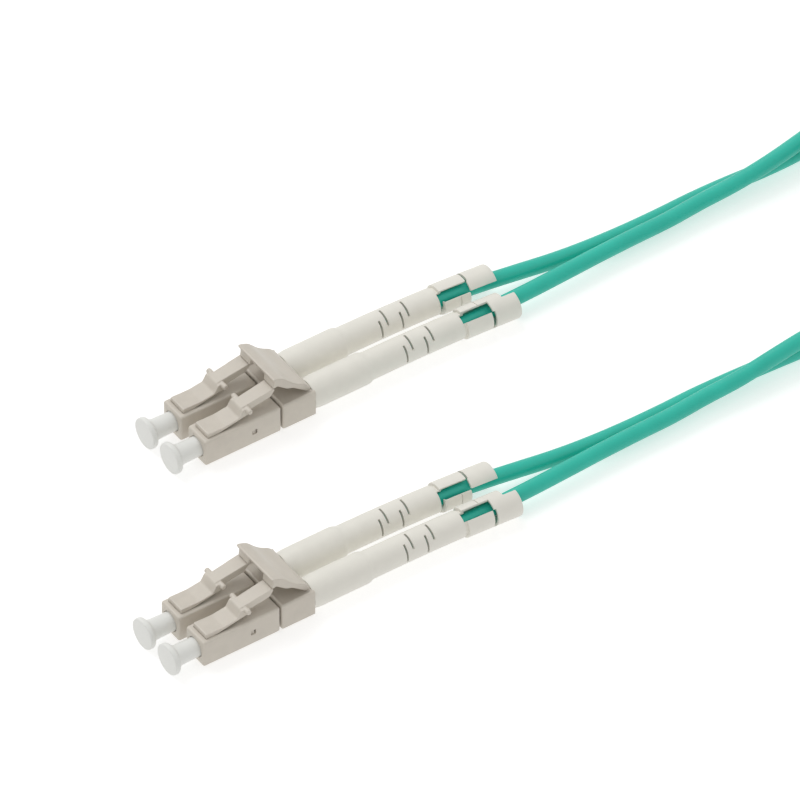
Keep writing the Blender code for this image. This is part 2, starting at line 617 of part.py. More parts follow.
def trigger_shape():
    """A sloping lever that ends in a lip, with a pad over each latch tail."""
    root = CLIP_SIDE - CLIP_WELL_DEPTH + SEAT_GAP
    pad_bottom = LATCH_TAIL_TOP + SEAT_GAP
    pad_front = LATCH_TAIL_END - TRIGGER_PAD_GRIP
    rear = CLIP_REAR - SEAT_GAP
    slope = [  # top of the lever, as shares of its length and height
        (0.0, 0.98), (0.04, 1.0), (0.23, 0.91), (0.33, 0.83), (0.5, 0.59), (0.65, 0.43), (0.83, 0.32), (0.92, 0.22),
        (1.0, 0.1),
    ]
    length = rear - pad_front
    height = TRIGGER_LIP_TOP - root
    top = [(pad_front + length * along, root + height * up) for along, up in slope]
    lever = prism([
        *top,
        (rear, root),
        (rear - TRIGGER_THICKNESS / 2, root),
        (pad_front + 0.54 * length, root + 0.36 * height),
        (pad_front + 0.37 * length, root + 0.43 * height),
        (pad_front + 0.09 * length, root + 0.72 * height),
    ], "Y", -TRIGGER_OVERHANG, PLUG_PITCH + TRIGGER_OVERHANG)
    round_edges(lever, TRIGGER_EDGE, lambda edge: not runs_along(1)(edge))
    pads = []
    for across in PLUGS.values():
        middle = across + (TRIGGER_PAD_HALF - TRIGGER_OVERHANG) * (1 if across == 0 else -1)
        pad = prism([
            (pad_front, pad_bottom),
            (pad_front + TRIGGER_PAD_SIZE, pad_bottom),
            (pad_front + 2 * TRIGGER_PAD_SIZE, pad_bottom + TRIGGER_PAD_SIZE / 2),
            (pad_front + TRIGGER_PAD_SIZE, pad_bottom + 1.3 * TRIGGER_PAD_SIZE),
            (pad_front + TRIGGER_EDGE / 2, pad_bottom + 1.3 * TRIGGER_PAD_SIZE),
        ], "Y", middle - TRIGGER_PAD_HALF, middle + TRIGGER_PAD_HALF)
        pads.append(round_edges(pad, TRIGGER_EDGE / 2, runs_along(1)))
    return combined("trigger", lever, "UNION", pads)


# ---------------------------------------------------------------- cord

def smooth_route(stations, spacing):
    """Even points along a cubic curve through the stations."""
    stations = np.array(stations, float)
    steps = np.linalg.norm(np.diff(stations, axis=0), axis=1)
    reach = np.concatenate([[0], np.cumsum(steps)])
    tangents = np.gradient(stations, reach, axis=0)
    fine = np.linspace(0, reach[-1], 40 * len(stations))
    span = np.clip(np.searchsorted(reach, fine, side="right") - 1, 0, len(steps) - 1)
    u = ((fine - reach[span]) / steps[span])[:, None]
    stretch = steps[span][:, None]
    curve = ((2 * u**3 - 3 * u**2 + 1) * stations[span] + (u**3 - 2 * u**2 + u) * stretch * tangents[span]
             + (3 * u**2 - 2 * u**3) * stations[span + 1] + (u**3 - u**2) * stretch * tangents[span + 1])
    along = np.concatenate([[0], np.cumsum(np.linalg.norm(np.diff(curve, axis=0), axis=1))])
    count = max(2, round(along[-1] / spacing))
    even = np.linspace(0, along[-1], count + 1)
    return np.column_stack([np.interp(even, along, curve[:, k]) for k in range(3)])


def coil_radius(turn):
    """The turns spiral in at a steady rate and out again."""
    return COIL_INNER_RADIUS + COIL_PITCH * abs(turn - COIL_TURNS / 2)


def coil_height(turn):
    """A layer is climbed in the half turn where the spiral reverses."""
    climb = min(1.0, max(0.0, 2 * (turn - COIL_TURNS / 2) + 0.5))
    return COIL_LAYER * (3 * climb**2 - 2 * climb**3)


def coil_points(strand_height):
    """One strand's clockwise turns in the first end's frame, with a straight stub at each end."""
    points = []
    for step in range(round(COIL_TURNS * COIL_POINTS) + 1):
        turn = step / COIL_POINTS
        angle = math.radians(COIL_ENTRY - 360 * turn)
        points.append(Vector((
            COIL_CENTRE_X + coil_radius(turn) * math.cos(angle),
            COIL_CENTRE_Y + coil_radius(turn) * math.sin(angle),
            strand_height + coil_height(turn),
        )))
    stub = 2 * JACKET_RADIUS
    return [points[0] - coil_heading(0) * stub, *points, points[-1] + coil_heading(COIL_TURNS) * stub]


def coil_heading(turn):
    angle = math.radians(COIL_ENTRY - 360 * turn)
    return Vector((math.sin(angle), -math.cos(angle), 0))


def strand_height(strand):
    """Height of a strand's first layer in the coil, where the near strand lies on the far one."""
    lowest = JACKET_RADIUS + CORD_FLOAT - FLOOR_DROP
    return lowest + (STRAND_PITCH if strand == "near" else 0)


def run_points(end, strand):
    """A strand's run from inside its boot to its coil, in the world."""
    across = PLUGS[strand]
    bent = [LEAN_START + (TUBE_END - LEAN_START) * part / BENT_PARTS for part in range(BENT_PARTS + 1)]
    stations = [Vector((x, across + boot_lean(x, strand), 0)) for x in [JACKET_START, *bent]]
    stations += [Vector(point) * MM for point in (NEAR_LEG if strand == "near" else FAR_LEG)]
    side = 0.5 if strand == "near" else -0.5
    for x, y, rise, lean_angle in (PAIR_A if end == "a" else PAIR_B):
        tilt = math.radians(lean_angle)
        low = JACKET_RADIUS - FLOOR_DROP + rise * MM
        middle = low + STRAND_PITCH / 2 * math.cos(tilt)
        stations.append(Vector((x * MM, y * MM - side * STRAND_PITCH * math.sin(tilt),
                                middle + side * STRAND_PITCH * math.cos(tilt))))
    coil = coil_points(strand_height(strand))
    if end == "a":
        finish, heading = coil[0] - ENDS[end], coil_heading(0)
    else:
        finish, heading = coil[-1] - ENDS[end], -coil_heading(COIL_TURNS)
    stations.append(finish - heading * (SEAT_GAP + CORD_SPACING / 2))
    stations.append(finish - heading * SEAT_GAP)
    return [Vector(point) + ENDS[end] - ORIGIN for point in smooth_route(stations, CORD_SPACING)]


# ---------------------------------------------------------------- the part

def build_plugs():
    beige = material("plug_moulding", (0.64, 0.58, 0.52), 0.45)
    latch_beige = material("latch_moulding", (0.66, 0.60, 0.54), 0.45)
    cap_white = material("cap_plastic", (0.80, 0.80, 0.78), 0.5)
    boot_white = material("boot_rubber", (0.76, 0.75, 0.70), 0.6)
    ceramic = material("ferrule_ceramic", (0.86, 0.86, 0.83), 0.2)
    nickel = material("holder_nickel", (0.62, 0.60, 0.56), 0.3, 1.0)
    steel = material("spring_steel", (0.55, 0.56, 0.57), 0.3, 1.0)
    rear_plastic = material("rear_body_moulding", (0.60, 0.55, 0.49), 0.5)
    copper = material("crimp_metal", (0.70, 0.62, 0.42), 0.35, 1.0)
    buffer = material("fibre_buffer", (0.82, 0.80, 0.72), 0.5)
    boot = boot_shape()
    shapes = {
        "housing": (housing_shape(), beige),
        "dust_cap": (dust_cap_shape(), cap_white),
        "ferrule": (ferrule_shape(), ceramic),
        "ferrule_holder": (holder_shape(), nickel),
        "rear_body": (rear_body_shape(), rear_plastic),
        "crimp_sleeve": (crimp_sleeve_shape(), copper),
    }
    latch = latch_shape()
    boots = {plug: bent_boot_shape(boot, plug) for plug in PLUGS}
    for end, shift in ENDS.items():
        for plug, across in PLUGS.items():
            at = shift + Vector((0, across, 0))
            label = f"_{end}_{plug}"
            for name, (mesh, finish) in shapes.items():
                place(name + label, mesh, finish, at)
            place("boot" + label, boots[plug], boot_white, at)
            place("latch_arm" + label, latch, latch_beige, at, (LATCH_PIVOT_X, 0, LATCH_PIVOT_Z))
            spring = [Vector(point) + at - ORIGIN for point in spring_points()]
            tube("spring" + label, spring, SPRING_WIRE / 2, 1, steel)
            fibre = [Vector((x, across, 0)) + shift - ORIGIN for x in (TAIL_REAR + BUFFER_GAP, JACKET_START - SEAT_GAP)]
            tube("buffered_fibre" + label, fibre, BUFFER_RADIUS, 2, buffer)


def build_clips():
    clip_beige = material("clip_moulding", (0.58, 0.54, 0.48), 0.45)
    trigger_beige = material("trigger_moulding", (0.63, 0.58, 0.52), 0.45)
    clip = clip_shape()
    trigger = trigger_shape()
    pivot = (CLIP_REAR - TRIGGER_PIVOT_BACK, 0, TRIGGER_PIVOT_Z)
    for end, shift in ENDS.items():
        place("duplex_clip_" + end, clip, clip_beige, shift)
        place("trigger_" + end, trigger, trigger_beige, shift, pivot)


def build_cord():
    turquoise = material("cord_jacket", (0.04, 0.42, 0.34), 0.45)
    for strand in PLUGS:
        coil = [point - ORIGIN for point in coil_points(strand_height(strand))]
        tube(strand + "_cord_coil", coil, JACKET_RADIUS, 1, turquoise)
        length = route_length(coil)
        for end in ENDS:
            run = run_points(end, strand)
            tube(f"{strand}_cord_run_{end}", run, JACKET_RADIUS, 2, turquoise)
            length += route_length(run) + SEAT_GAP
        print(f"{strand} cord: {length / MM:.1f} mm, least gap in its coil {least_gap(coil, JACKET_RADIUS) / MM:.2f} mm")
    spring_gap = least_gap(spring_points(), SPRING_WIRE / 2)
    print(f"spring: least gap between turns {spring_gap / MM:.2f} mm")


def route_length(points):
    return sum((b - a).length for a, b in zip(points, points[1:]))


clear_objects()
build_plugs()
build_clips()
build_cord()
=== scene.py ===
"""Looks of the duplex fibre optic patch cord: moulded plugs, clips, boots and caps, and the twin cord."""
import math

import bmesh
import bpy
import numpy as np
from mathutils import Matrix, Vector


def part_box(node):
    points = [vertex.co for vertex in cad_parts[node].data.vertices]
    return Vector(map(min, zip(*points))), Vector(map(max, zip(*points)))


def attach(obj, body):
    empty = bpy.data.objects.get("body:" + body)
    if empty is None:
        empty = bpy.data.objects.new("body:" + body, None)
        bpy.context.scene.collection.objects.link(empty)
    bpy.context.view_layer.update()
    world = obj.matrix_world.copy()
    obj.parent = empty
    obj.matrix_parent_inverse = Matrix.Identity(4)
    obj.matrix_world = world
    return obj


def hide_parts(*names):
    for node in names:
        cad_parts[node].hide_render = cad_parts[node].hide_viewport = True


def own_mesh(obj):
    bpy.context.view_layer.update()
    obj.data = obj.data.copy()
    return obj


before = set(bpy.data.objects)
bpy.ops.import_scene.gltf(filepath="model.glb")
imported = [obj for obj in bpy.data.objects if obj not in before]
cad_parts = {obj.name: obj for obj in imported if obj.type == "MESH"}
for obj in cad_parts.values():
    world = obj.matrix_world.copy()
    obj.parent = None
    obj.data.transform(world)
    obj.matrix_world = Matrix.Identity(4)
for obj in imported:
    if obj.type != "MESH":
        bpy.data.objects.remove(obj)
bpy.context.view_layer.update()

bl_info = {
    "name": "Duplex Patch Cord",
    "version": (1, 0, 0),
    "blender": (4, 5, 0),
    "location": "View3D > Sidebar > Patch Cord",
    "description": "Models a duplex fibre optic patch cord: capped plugs, slotted boots, coiled cord",
    "category": "Add Mesh",
}

MM = 0.001
ENDS = ("a", "b")
PLUGS = ("near", "far")
PLUG_KEYS = [f"{end}_{plug}" for end in ENDS for plug in PLUGS]
PAST = 0.5 * MM  # how far a cutter reaches past what it cuts


# ---------------------------------------------------------------- sizes and colours that a user would change

def size(name, value, description):
    return bpy.props.FloatProperty(name=name, default=value * MM, min=0.0, unit="LENGTH", precision=5,
                                   description=description)


def colour(name, code, description):
    return bpy.props.FloatVectorProperty(name=name, subtype="COLOR", size=3, min=0.0, max=1.0,
                                         default=linear(code), description=description)


def linear(code):
    """An sRGB hex colour as the linear values that a shader takes."""
    channels = [int(code[i:i + 2], 16) / 255 for i in (1, 3, 5)]
    return tuple(c / 12.92 if c <= 0.04045 else ((c + 0.055) / 1.055) ** 2.4 for c in channels)


class PATCH_PG_plug(bpy.types.PropertyGroup):
    """Square plug body and the latch arm on it."""
    fillet: size("Body fillet", 0.36, "Radius of the body's long edges")
    mouth_radius: size("Mouth radius", 1.55, "Radius of the bore in the body's front")
    window_length: size("Window length", 0.85, "Length of the snap window in the body's sides")
    window_height: size("Window height", 0.85, "Height of the snap window in the body's sides")
    arm_half_width: size("Arm half width", 1.6, "Half the width of the latch arm's pad")
    tail_half_width: size("Tail half width", 1.2, "Half the width of the latch arm's tail")
    body_colour: colour("Body colour", "#D1CABF", "Moulding colour of the body and the latch arm")


class PATCH_PG_clip(bpy.types.PropertyGroup):
    """Clip that joins two plugs, and its trigger."""
    fillet: size("Clip fillet", 0.34, "Radius of the clip's edges")
    side_wall: size("Side wall", 0.4, "Thickness of the clip's walls beside the trigger")
    well_depth: size("Well depth", 0.4, "Depth of the recess under the trigger")
    clip_colour: colour("Clip colour", "#CFC8BD", "Moulding colour of the clip and its trigger")


class PATCH_PG_boot(bpy.types.PropertyGroup):
    """Strain relief behind each plug."""
    slot_width: size("Slot width", 0.32, "Width of the flex slots")
    bore_radius: size("Bore radius", 1.55, "Radius of the boot's bore round the cord")
    boot_colour: colour("Boot colour", "#EAE8E0", "Colour of the boots")


class PATCH_PG_cap(bpy.types.PropertyGroup):
    """Dust cap over each ferrule."""
    rim: size("Rim", 0.85, "Thickness of the cap's flange")
    cap_colour: colour("Cap colour", "#E8E9E6", "Colour of the caps")


class PATCH_PG_cord(bpy.types.PropertyGroup):
    """Twin cord."""
    jacket_radius: size("Jacket radius", 1.2, "Radius of each of the two jackets")
    jacket_colour: colour("Jacket colour", "#20BDA9", "Colour of the cord's jackets")
    tie_colour: colour("Tie colour", "#F1F1EE", "Colour of the coil's twist ties")


SETTINGS = {
    "patch_plug": PATCH_PG_plug,
    "patch_clip": PATCH_PG_clip,
    "patch_boot": PATCH_PG_boot,
    "patch_cap": PATCH_PG_cap,
    "patch_cord": PATCH_PG_cord,
}


# ---------------------------------------------------------------- places, read from the frame

def plug_place(key):
    """The point on a plug's axis at its body's front face."""
    low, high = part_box("housing_" + key)
    return Vector((low[0], (low[1] + high[1]) / 2, (low[2] + high[2]) / 2))


def span(node):
    """A node's extent along X, from the front face of end a's plugs."""
    low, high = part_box(node)
    start = plug_place("a_near")[0]
    return low[0] - start, high[0] - start


def plug_pitch():
    return plug_place("a_far")[1] - plug_place("a_near")[1]


# ---------------------------------------------------------------- modelling tools

def rounded(outline, cuts, steps=4, closed=True):
    """An outline whose corners are cut back by these lengths and rounded."""
    points = [Vector(point) for point in outline]
    count = len(points)
    made = []
    for i, corner in enumerate(points):
        cut = cuts[i] if isinstance(cuts, (list, tuple)) else cuts
        ends = not closed and i in (0, count - 1)
        if ends or cut <= 0:
            made.append(corner)
            continue
        before, after = points[i - 1] - corner, points[(i + 1) % count] - corner
        start = corner + before.normalized() * min(cut, before.length * 0.49)
        end = corner + after.normalized() * min(cut, after.length * 0.49)
        for step in range(steps + 1):
            t = step / steps
            made.append(start * (1 - t) ** 2 + corner * 2 * t * (1 - t) + end * t**2)
    return made


def scaled(points):
    """Points in millimetres as points in metres."""
    return [tuple(v * MM for v in point) for point in points]


def shaped(corners, cut=0.0, closed=True):
    """A rounded outline from corners in millimetres, whose third number, if any, is the corner's own cut."""
    cuts = [(corner[2] if len(corner) > 2 else cut) * MM for corner in corners]
    return rounded(scaled([corner[:2] for corner in corners]), cuts, closed=closed)


def extruded(outline, axis, low, high):
    """An outline in the other two axes, made solid between two places on this axis."""
    def at(a, b, depth):
        return {"X": (depth, a, b), "Y": (a, depth, b), "Z": (a, b, depth)}[axis]
    bm = bmesh.new()
    face = bm.faces.new([bm.verts.new(at(a, b, low)) for a, b in outline])
    raised = bmesh.ops.extrude_face_region(bm, geom=[face])["geom"]
    top = [item for item in raised if isinstance(item, bmesh.types.BMVert)]
    bmesh.ops.translate(bm, verts=top, vec=at(0, 0, high - low))
    bmesh.ops.recalc_face_normals(bm, faces=bm.faces)
    return bm


def box(low, high):
    bm = bmesh.new()
    bmesh.ops.create_cube(bm, size=1.0)
    low, high = Vector(low), Vector(high)
    bmesh.ops.scale(bm, vec=high - low, verts=bm.verts)
    bmesh.ops.translate(bm, vec=(low + high) / 2, verts=bm.verts)
    return bm


def round_edges(bm, edges, radius, segments):
    bmesh.ops.bevel(bm, geom=edges, offset=radius, offset_type="OFFSET", segments=segments, profile=0.5,
                    affect="EDGES", material=-1)


def rounded_box(low, high, radius, segments):
    bm = box(low, high)
    round_edges(bm, bm.edges[:], radius, segments)
    return bm


def turned(profile, sides=72, closed=True):
    """A profile of (x, radius) turned round X: a closed one is a tube, an open one ends on the axis."""
    bm = bmesh.new()
    points = [bm.verts.new((x, -radius, 0)) for x, radius in profile]
    pairs = list(zip(points, points[1:])) + ([(points[-1], points[0])] if closed else [])
    edges = [bm.edges.new(pair) for pair in pairs]
    bmesh.ops.spin(bm, geom=points + edges, cent=(0, 0, 0), axis=(1, 0, 0), angle=math.tau, steps=sides,
                   use_merge=True)
    bmesh.ops.remove_doubles(bm, verts=bm.verts, dist=1e-7)
    bmesh.ops.recalc_face_normals(bm, faces=bm.faces)
    return bm


def sector(low, high, start, end, inner, outer, step=4.0):
    """Part of a ring round the X axis, with angles in degrees from -Y over the top."""
    count = math.ceil((end - start) / step)
    angles = [math.radians(start + (end - start) * i / count) for i in range(count + 1)]
    outline = [(-outer * math.cos(a), outer * math.sin(a)) for a in angles]
    outline += [(-inner * math.cos(a), inner * math.sin(a)) for a in reversed(angles)]
    return extruded(outline, "X", low, high)


def loose_object(bm):
    mesh = bpy.data.meshes.new("blank")
    bm.to_mesh(mesh)
    bm.free()
    made = bpy.data.objects.new("blank", mesh)
    bpy.context.scene.collection.objects.link(made)
    return made


def evaluated(base, used):
    """The mesh of an object with its modifiers applied. The objects that made it go."""
    mesh = bpy.data.meshes.new_from_object(base.evaluated_get(bpy.context.evaluated_depsgraph_get()))
    for helper in used:
        bpy.data.objects.remove(helper, do_unlink=True)
    return mesh


def carved(blank, tools, operation="DIFFERENCE"):
    """What is left of the blank when the tools are cut from it, or joined to it."""
    base = loose_object(blank)
    helpers = [loose_object(tool) for tool in tools]
    for helper in helpers:
        step = base.modifiers.new("shape", "BOOLEAN")
        step.operation = operation
        step.solver = "EXACT"
        step.object = helper
    return evaluated(base, [base, *helpers])


def moulded(mesh, voxel, passes=6):
    """A mesh skinned anew in small even faces and eased, which gives every edge a moulded radius."""
    base = bpy.data.objects.new("blank", mesh)
    bpy.context.scene.collection.objects.link(base)
    skin = base.modifiers.new("skin", "REMESH")
    skin.mode = "VOXEL"
    skin.voxel_size = voxel
    ease = base.modifiers.new("ease", "SMOOTH")
    ease.factor = 0.5
    ease.iterations = passes
    return evaluated(base, [base])


def as_mesh(bm):
    mesh = bpy.data.meshes.new("shape")
    bm.to_mesh(mesh)
    bm.free()
    return mesh


def as_bmesh(mesh):
    bm = bmesh.new()
    bm.from_mesh(mesh)
    return bm


def settle(name, mesh, at, material, body, nodes, smooth_angle=30):
    """One finished piece: its place is in its mesh, and it rides on its body in place of its CAD nodes."""
    mesh = mesh.copy()
    mesh.name = name
    mesh.transform(Matrix.Translation(at))
    mesh.materials.clear()
    mesh.materials.append(material)
    mesh.shade_smooth()
    if smooth_angle:
        mesh.set_sharp_from_angle(angle=math.radians(smooth_angle))
    piece = bpy.data.objects.new(name, mesh)
    bpy.context.scene.collection.objects.link(piece)
    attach(piece, body)
    if nodes:
        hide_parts(*nodes)
    return piece


# ---------------------------------------------------------------- materials

def add(tree, kind, inputs=None, **settings):
    """Adds a shader node. An input's value is a number, a colour or another node's output."""
    node = tree.nodes.new(kind)
    for key, value in settings.items():
        setattr(node, key, value)
    for key, value in (inputs or {}).items():
        if isinstance(value, bpy.types.NodeSocket):
            tree.links.new(value, node.inputs[key])
        else:
            node.inputs[key].default_value = value
    return node


def new_material(name):
    made = bpy.data.materials.get(name)
    if made:
        return made, None
    made = bpy.data.materials.new(name)
    made.use_nodes = True
    made.node_tree.nodes.clear()
    return made, made.node_tree


def mixed(tree, factor, low, high):
    """A colour between two others, by this factor."""
    mix = add(tree, "ShaderNodeMix", {0: factor, 6: (*low, 1), 7: (*high, 1)}, data_type="RGBA")
    return mix.outputs[2]


def relief(tree, height, strength, depth):
    """A surface normal from a pattern of heights, whose whole depth is in millimetres."""
    bump = add(tree, "ShaderNodeBump", {"Height": height, "Strength": strength, "Distance": depth * MM})
    return bump.outputs["Normal"]


def moulded_plastic(name, base, roughness=0.42, mottle=0.05, grain=0.14, depth=0.004, ior=1.52):
    """Injection-moulded thermoplastic: an even, faintly mottled colour under a fine spark-eroded texture,
    which breaks up the gloss. The real grain is about 0.03 mm and is drawn coarser so that it shows.
    Grain and depth are in millimetres."""
    made, tree = new_material(name)
    if tree is None:
        return made
    place = add(tree, "ShaderNodeTexCoord").outputs["Object"]
    cloud = add(tree, "ShaderNodeTexNoise", {"Vector": place, "Scale": 1 / (1.8 * MM), "Detail": 3.0})
    darker = tuple(c * (1 - 2.2 * mottle) for c in base)
    lighter = tuple(min(1.0, c * (1 + mottle)) for c in base)
    shade = mixed(tree, cloud.outputs["Fac"], darker, lighter)
    pits = add(tree, "ShaderNodeTexNoise", {"Vector": place, "Scale": 1 / (grain * MM), "Detail": 2.0})
    gloss = add(tree, "ShaderNodeMapRange", {
        "Value": cloud.outputs["Fac"], "From Min": 0.3, "From Max": 0.7,
        "To Min": roughness - 0.05, "To Max": roughness + 0.06,
    })
    shader = add(tree, "ShaderNodeBsdfPrincipled", {
        "Base Color": shade, "Roughness": gloss.outputs["Result"],
        "Normal": relief(tree, pits.outputs["Fac"], 0.5, depth), "IOR": ior,
    })
    add(tree, "ShaderNodeOutputMaterial", {"Surface": shader.outputs["BSDF"]})
    return made


def drawn_metal(name, base, roughness=0.3):
    """Turned or drawn metal: fine rings round the axis that stretch its highlights."""
    made, tree = new_material(name)
    if tree is None:
        return made
    place = add(tree, "ShaderNodeTexCoord").outputs["Object"]
    rings = add(tree, "ShaderNodeTexWave", {"Vector": place, "Scale": 1 / (0.9 * MM), "Distortion": 0.4},
                bands_direction="X")
    shader = add(tree, "ShaderNodeBsdfPrincipled", {
        "Base Color": (*base, 1), "Metallic": 1.0, "Roughness": roughness,
        "Normal": relief(tree, rings.outputs["Fac"], 0.3, 0.004),
    })
    add(tree, "ShaderNodeOutputMaterial", {"Surface": shader.outputs["BSDF"]})
    return made


def extruded_jacket(name, base):
    """Soft jacket compound, extruded over the fibre: satin, with faint lines along the cord from the die and
    a slow change of shade along its length. The lines follow the UV map: round, and along in metres."""
    made, tree = new_material(name)
    if tree is None:
        return made
    lay = add(tree, "ShaderNodeUVMap", uv_map="jacket").outputs["UV"]
    stretch = add(tree, "ShaderNodeMapping", {"Vector": lay, "Scale": (26.0, 60.0, 1.0)})
    lines = add(tree, "ShaderNodeTexNoise", {
        "Vector": stretch.outputs["Vector"], "Scale": 1.0, "Detail": 2.0,
    })
    place = add(tree, "ShaderNodeTexCoord").outputs["Object"]
    cloud = add(tree, "ShaderNodeTexNoise", {"Vector": place, "Scale": 1 / (4.0 * MM), "Detail": 2.0})
    darker = tuple(c * 0.9 for c in base)
    lighter = tuple(min(1.0, c * 1.08) for c in base)
    shader = add(tree, "ShaderNodeBsdfPrincipled", {
        "Base Color": mixed(tree, cloud.outputs["Fac"], darker, lighter), "Roughness": 0.4,
        "Normal": relief(tree, lines.outputs["Fac"], 0.35, 0.02), "IOR": 1.5,
    })
    add(tree, "ShaderNodeOutputMaterial", {"Surface": shader.outputs["BSDF"]})
    return made


# ---------------------------------------------------------------- stage

class PATCH_OT_stage(bpy.types.Operator):
    """Set up the camera, the light, the floor and the world"""
    bl_idname = "patch.stage"
    bl_label = "Stage"

    AZIMUTH = -34.5
    ELEVATION = 43.2
    DISTANCE = 3.0
    SEEN_WIDTH = 113.64 * MM  # of the plane through the point looked at
    SENSOR = 36.0
    LOOK_X = 30.6 * MM  # from the near plug of end a: the point on the floor in the middle of the picture
    LOOK_Y = -6.3 * MM
    KEY_SHARE = 0.27  # of the light on what faces the lamp
    KEY_FROM = (-0.1, 0.58, 0.81)
    KEY_ANGLE = 36.0
    KEY_PLACE = (-0.03, 0.17, 0.24)
    SKY_LOW, SKY_HIGH = 0.5, 0.8
    TABLE = 0.96  # the light from below, as from a white table
    WARM, WHITE = (1.0, 0.99, 0.97), (1.0, 1.0, 1.0)
    FLOOR_WHITE = 0.68
    FLOOR_GLOW = 0.52
    FLOOR_HALF = 4.0
    FLOOR_Z = -0.02 * MM

    def execute(self, context):
        scene = context.scene
        scene.view_settings.view_transform = "Standard"
        start = plug_place("a_near")
        look = Vector((start.x + self.LOOK_X, start.y + self.LOOK_Y, 0))
        turn, rise = math.radians(self.AZIMUTH), math.radians(self.ELEVATION)
        back = Vector((math.sin(turn) * math.cos(rise), -math.cos(turn) * math.cos(rise), math.sin(rise)))
        data = bpy.data.cameras.new("camera")
        data.sensor_width = self.SENSOR
        data.lens = self.SENSOR * self.DISTANCE / self.SEEN_WIDTH
        data.clip_start, data.clip_end = 0.1, 20.0
        camera = bpy.data.objects.new("camera", data)
        camera.location = look + back * self.DISTANCE
        camera.rotation_euler = (-back).to_track_quat("-Z", "Y").to_euler()
        scene.collection.objects.link(camera)
        scene.camera = camera
        self.light(scene)
        self.world(scene)
        self.floor(scene)
        return {"FINISHED"}

    def light(self, scene):
        """One wide, soft lamp high behind the plugs, so that tops are lit a little more than the rest."""
        data = bpy.data.lights.new("soft_key", "SUN")
        data.energy = self.KEY_SHARE * math.pi
        data.angle = math.radians(self.KEY_ANGLE)
        lamp = bpy.data.objects.new("soft_key", data)
        lamp.rotation_euler = Vector(self.KEY_FROM).to_track_quat("Z", "Y").to_euler()
        lamp.location = self.KEY_PLACE
        scene.collection.objects.link(lamp)

    def world(self, scene):
        """An even studio light: dimmer at the horizon than above and below, and white where it is seen."""
        made = bpy.data.worlds.new("studio")
        made.use_nodes = True
        made.node_tree.nodes.clear()
        tree = made.node_tree
        seen = seen_ray(tree)
        place = add(tree, "ShaderNodeTexCoord").outputs["Generated"]
        way = add(tree, "ShaderNodeSeparateXYZ", {"Vector": place})
        height = add(tree, "ShaderNodeMapRange", {
            "Value": way.outputs["Z"], "To Min": self.SKY_LOW, "To Max": self.SKY_HIGH,
        })
        below = add(tree, "ShaderNodeMath", {0: way.outputs["Z"], 1: 0.0}, operation="LESS_THAN")
        around = add(tree, "ShaderNodeMix", {
            0: below.outputs[0], 2: height.outputs["Result"], 3: self.TABLE,
        })
        strength = add(tree, "ShaderNodeMix", {0: seen, 2: around.outputs[0], 3: 1.0})
        tint = mixed(tree, seen, self.WARM, self.WHITE)
        sky = add(tree, "ShaderNodeBackground", {"Color": tint, "Strength": strength.outputs[0]})
        add(tree, "ShaderNodeOutputWorld", {"Surface": sky.outputs["Background"]})
        scene.world = made

    def floor(self, scene):
        """White paper, which glows a little where it is seen, so that it is white under a faint shadow.
        The object's lower faces are lit by the world below, in place of the paper."""
        bm = bmesh.new()
        bmesh.ops.create_grid(bm, x_segments=1, y_segments=1, size=self.FLOOR_HALF)
        piece = bpy.data.objects.new("floor", as_mesh(bm))
        made, tree = new_material("floor_paper")
        matt = add(tree, "ShaderNodeBsdfDiffuse", {"Color": (*[self.FLOOR_WHITE] * 3, 1)})
        strength = add(tree, "ShaderNodeMath", {0: seen_ray(tree), 1: self.FLOOR_GLOW}, operation="MULTIPLY")
        glow = add(tree, "ShaderNodeEmission", {"Color": (*self.WHITE, 1), "Strength": strength.outputs[0]})
        both = add(tree, "ShaderNodeAddShader", {0: matt.outputs["BSDF"], 1: glow.outputs["Emission"]})
        add(tree, "ShaderNodeOutputMaterial", {"Surface": both.outputs["Shader"]})
        piece.data.materials.append(made)
        piece.location.z = self.FLOOR_Z
        piece.visible_diffuse = False
        scene.collection.objects.link(piece)


def seen_ray(tree):
    """1 for what the camera sees directly, in gloss or through glass, and 0 for the light on the object."""
    path = add(tree, "ShaderNodeLightPath")
    first = add(tree, "ShaderNodeMath", {
        0: path.outputs["Is Camera Ray"], 1: path.outputs["Is Glossy Ray"],
    }, operation="ADD")
    return add(tree, "ShaderNodeMath", {
        0: first.outputs[0], 1: path.outputs["Is Transmission Ray"],
    }, operation="ADD", use_clamp=True).outputs[0]


# ---------------------------------------------------------------- cord

STRAND_PITCH = 2.7 * MM  # between the pair's two centrelines
FLOOR_DROP = 2.45 * MM  # from a plug's axis to the surface
COIL_FLOAT = 0.35 * MM  # height of the lowest turn over the surface, for its ties
COIL_CENTRE = (143.3 * MM, -15.0 * MM)
COIL_INNER_RADIUS = 20.95 * MM
COIL_STEP = 2.9 * MM  # how far each turn lies outside the one within it
COIL_LAYER = 5.5 * MM  # how far the turns that spiral out lie over those that spiral in
COIL_ENTRY = 114.0
COIL_TURNS = 4.625
COIL_POINTS = 48  # in each turn
COIL_LEADS = (5.4 * MM, 2.4 * MM)  # stations on the straight line into the coil
JACKET_START = 24.3 * MM
LEAN_START = 30.0 * MM
BOOT_LEAN = {"near": 0.9 * MM, "far": 1.1 * MM}
TUBE_END = 44.7 * MM
BOOT_END = 53.9 * MM
RUN_STEP = 1.5 * MM
WEB_REACH = 3.4 * MM  # strands nearer than this are joined
WEB_FADE = 0.5 * MM
WEB_OVERLAP = 0.02 * MM
WEB_HALF_ARC = math.radians(7)
TIE_PLAY = 0.15 * MM  # between a tie and the turns beside it
TIE_GAP = 0.05 * MM  # over and under the turns
TIE_THICK = 0.2 * MM
TIE_HALF_WIDTH = 1.4 * MM
TWIST_STEPS = 36
TWIST_REACH = 6.75 * MM
TWIST_TURNS = 2.5
TWIST_START = 0.6 * MM
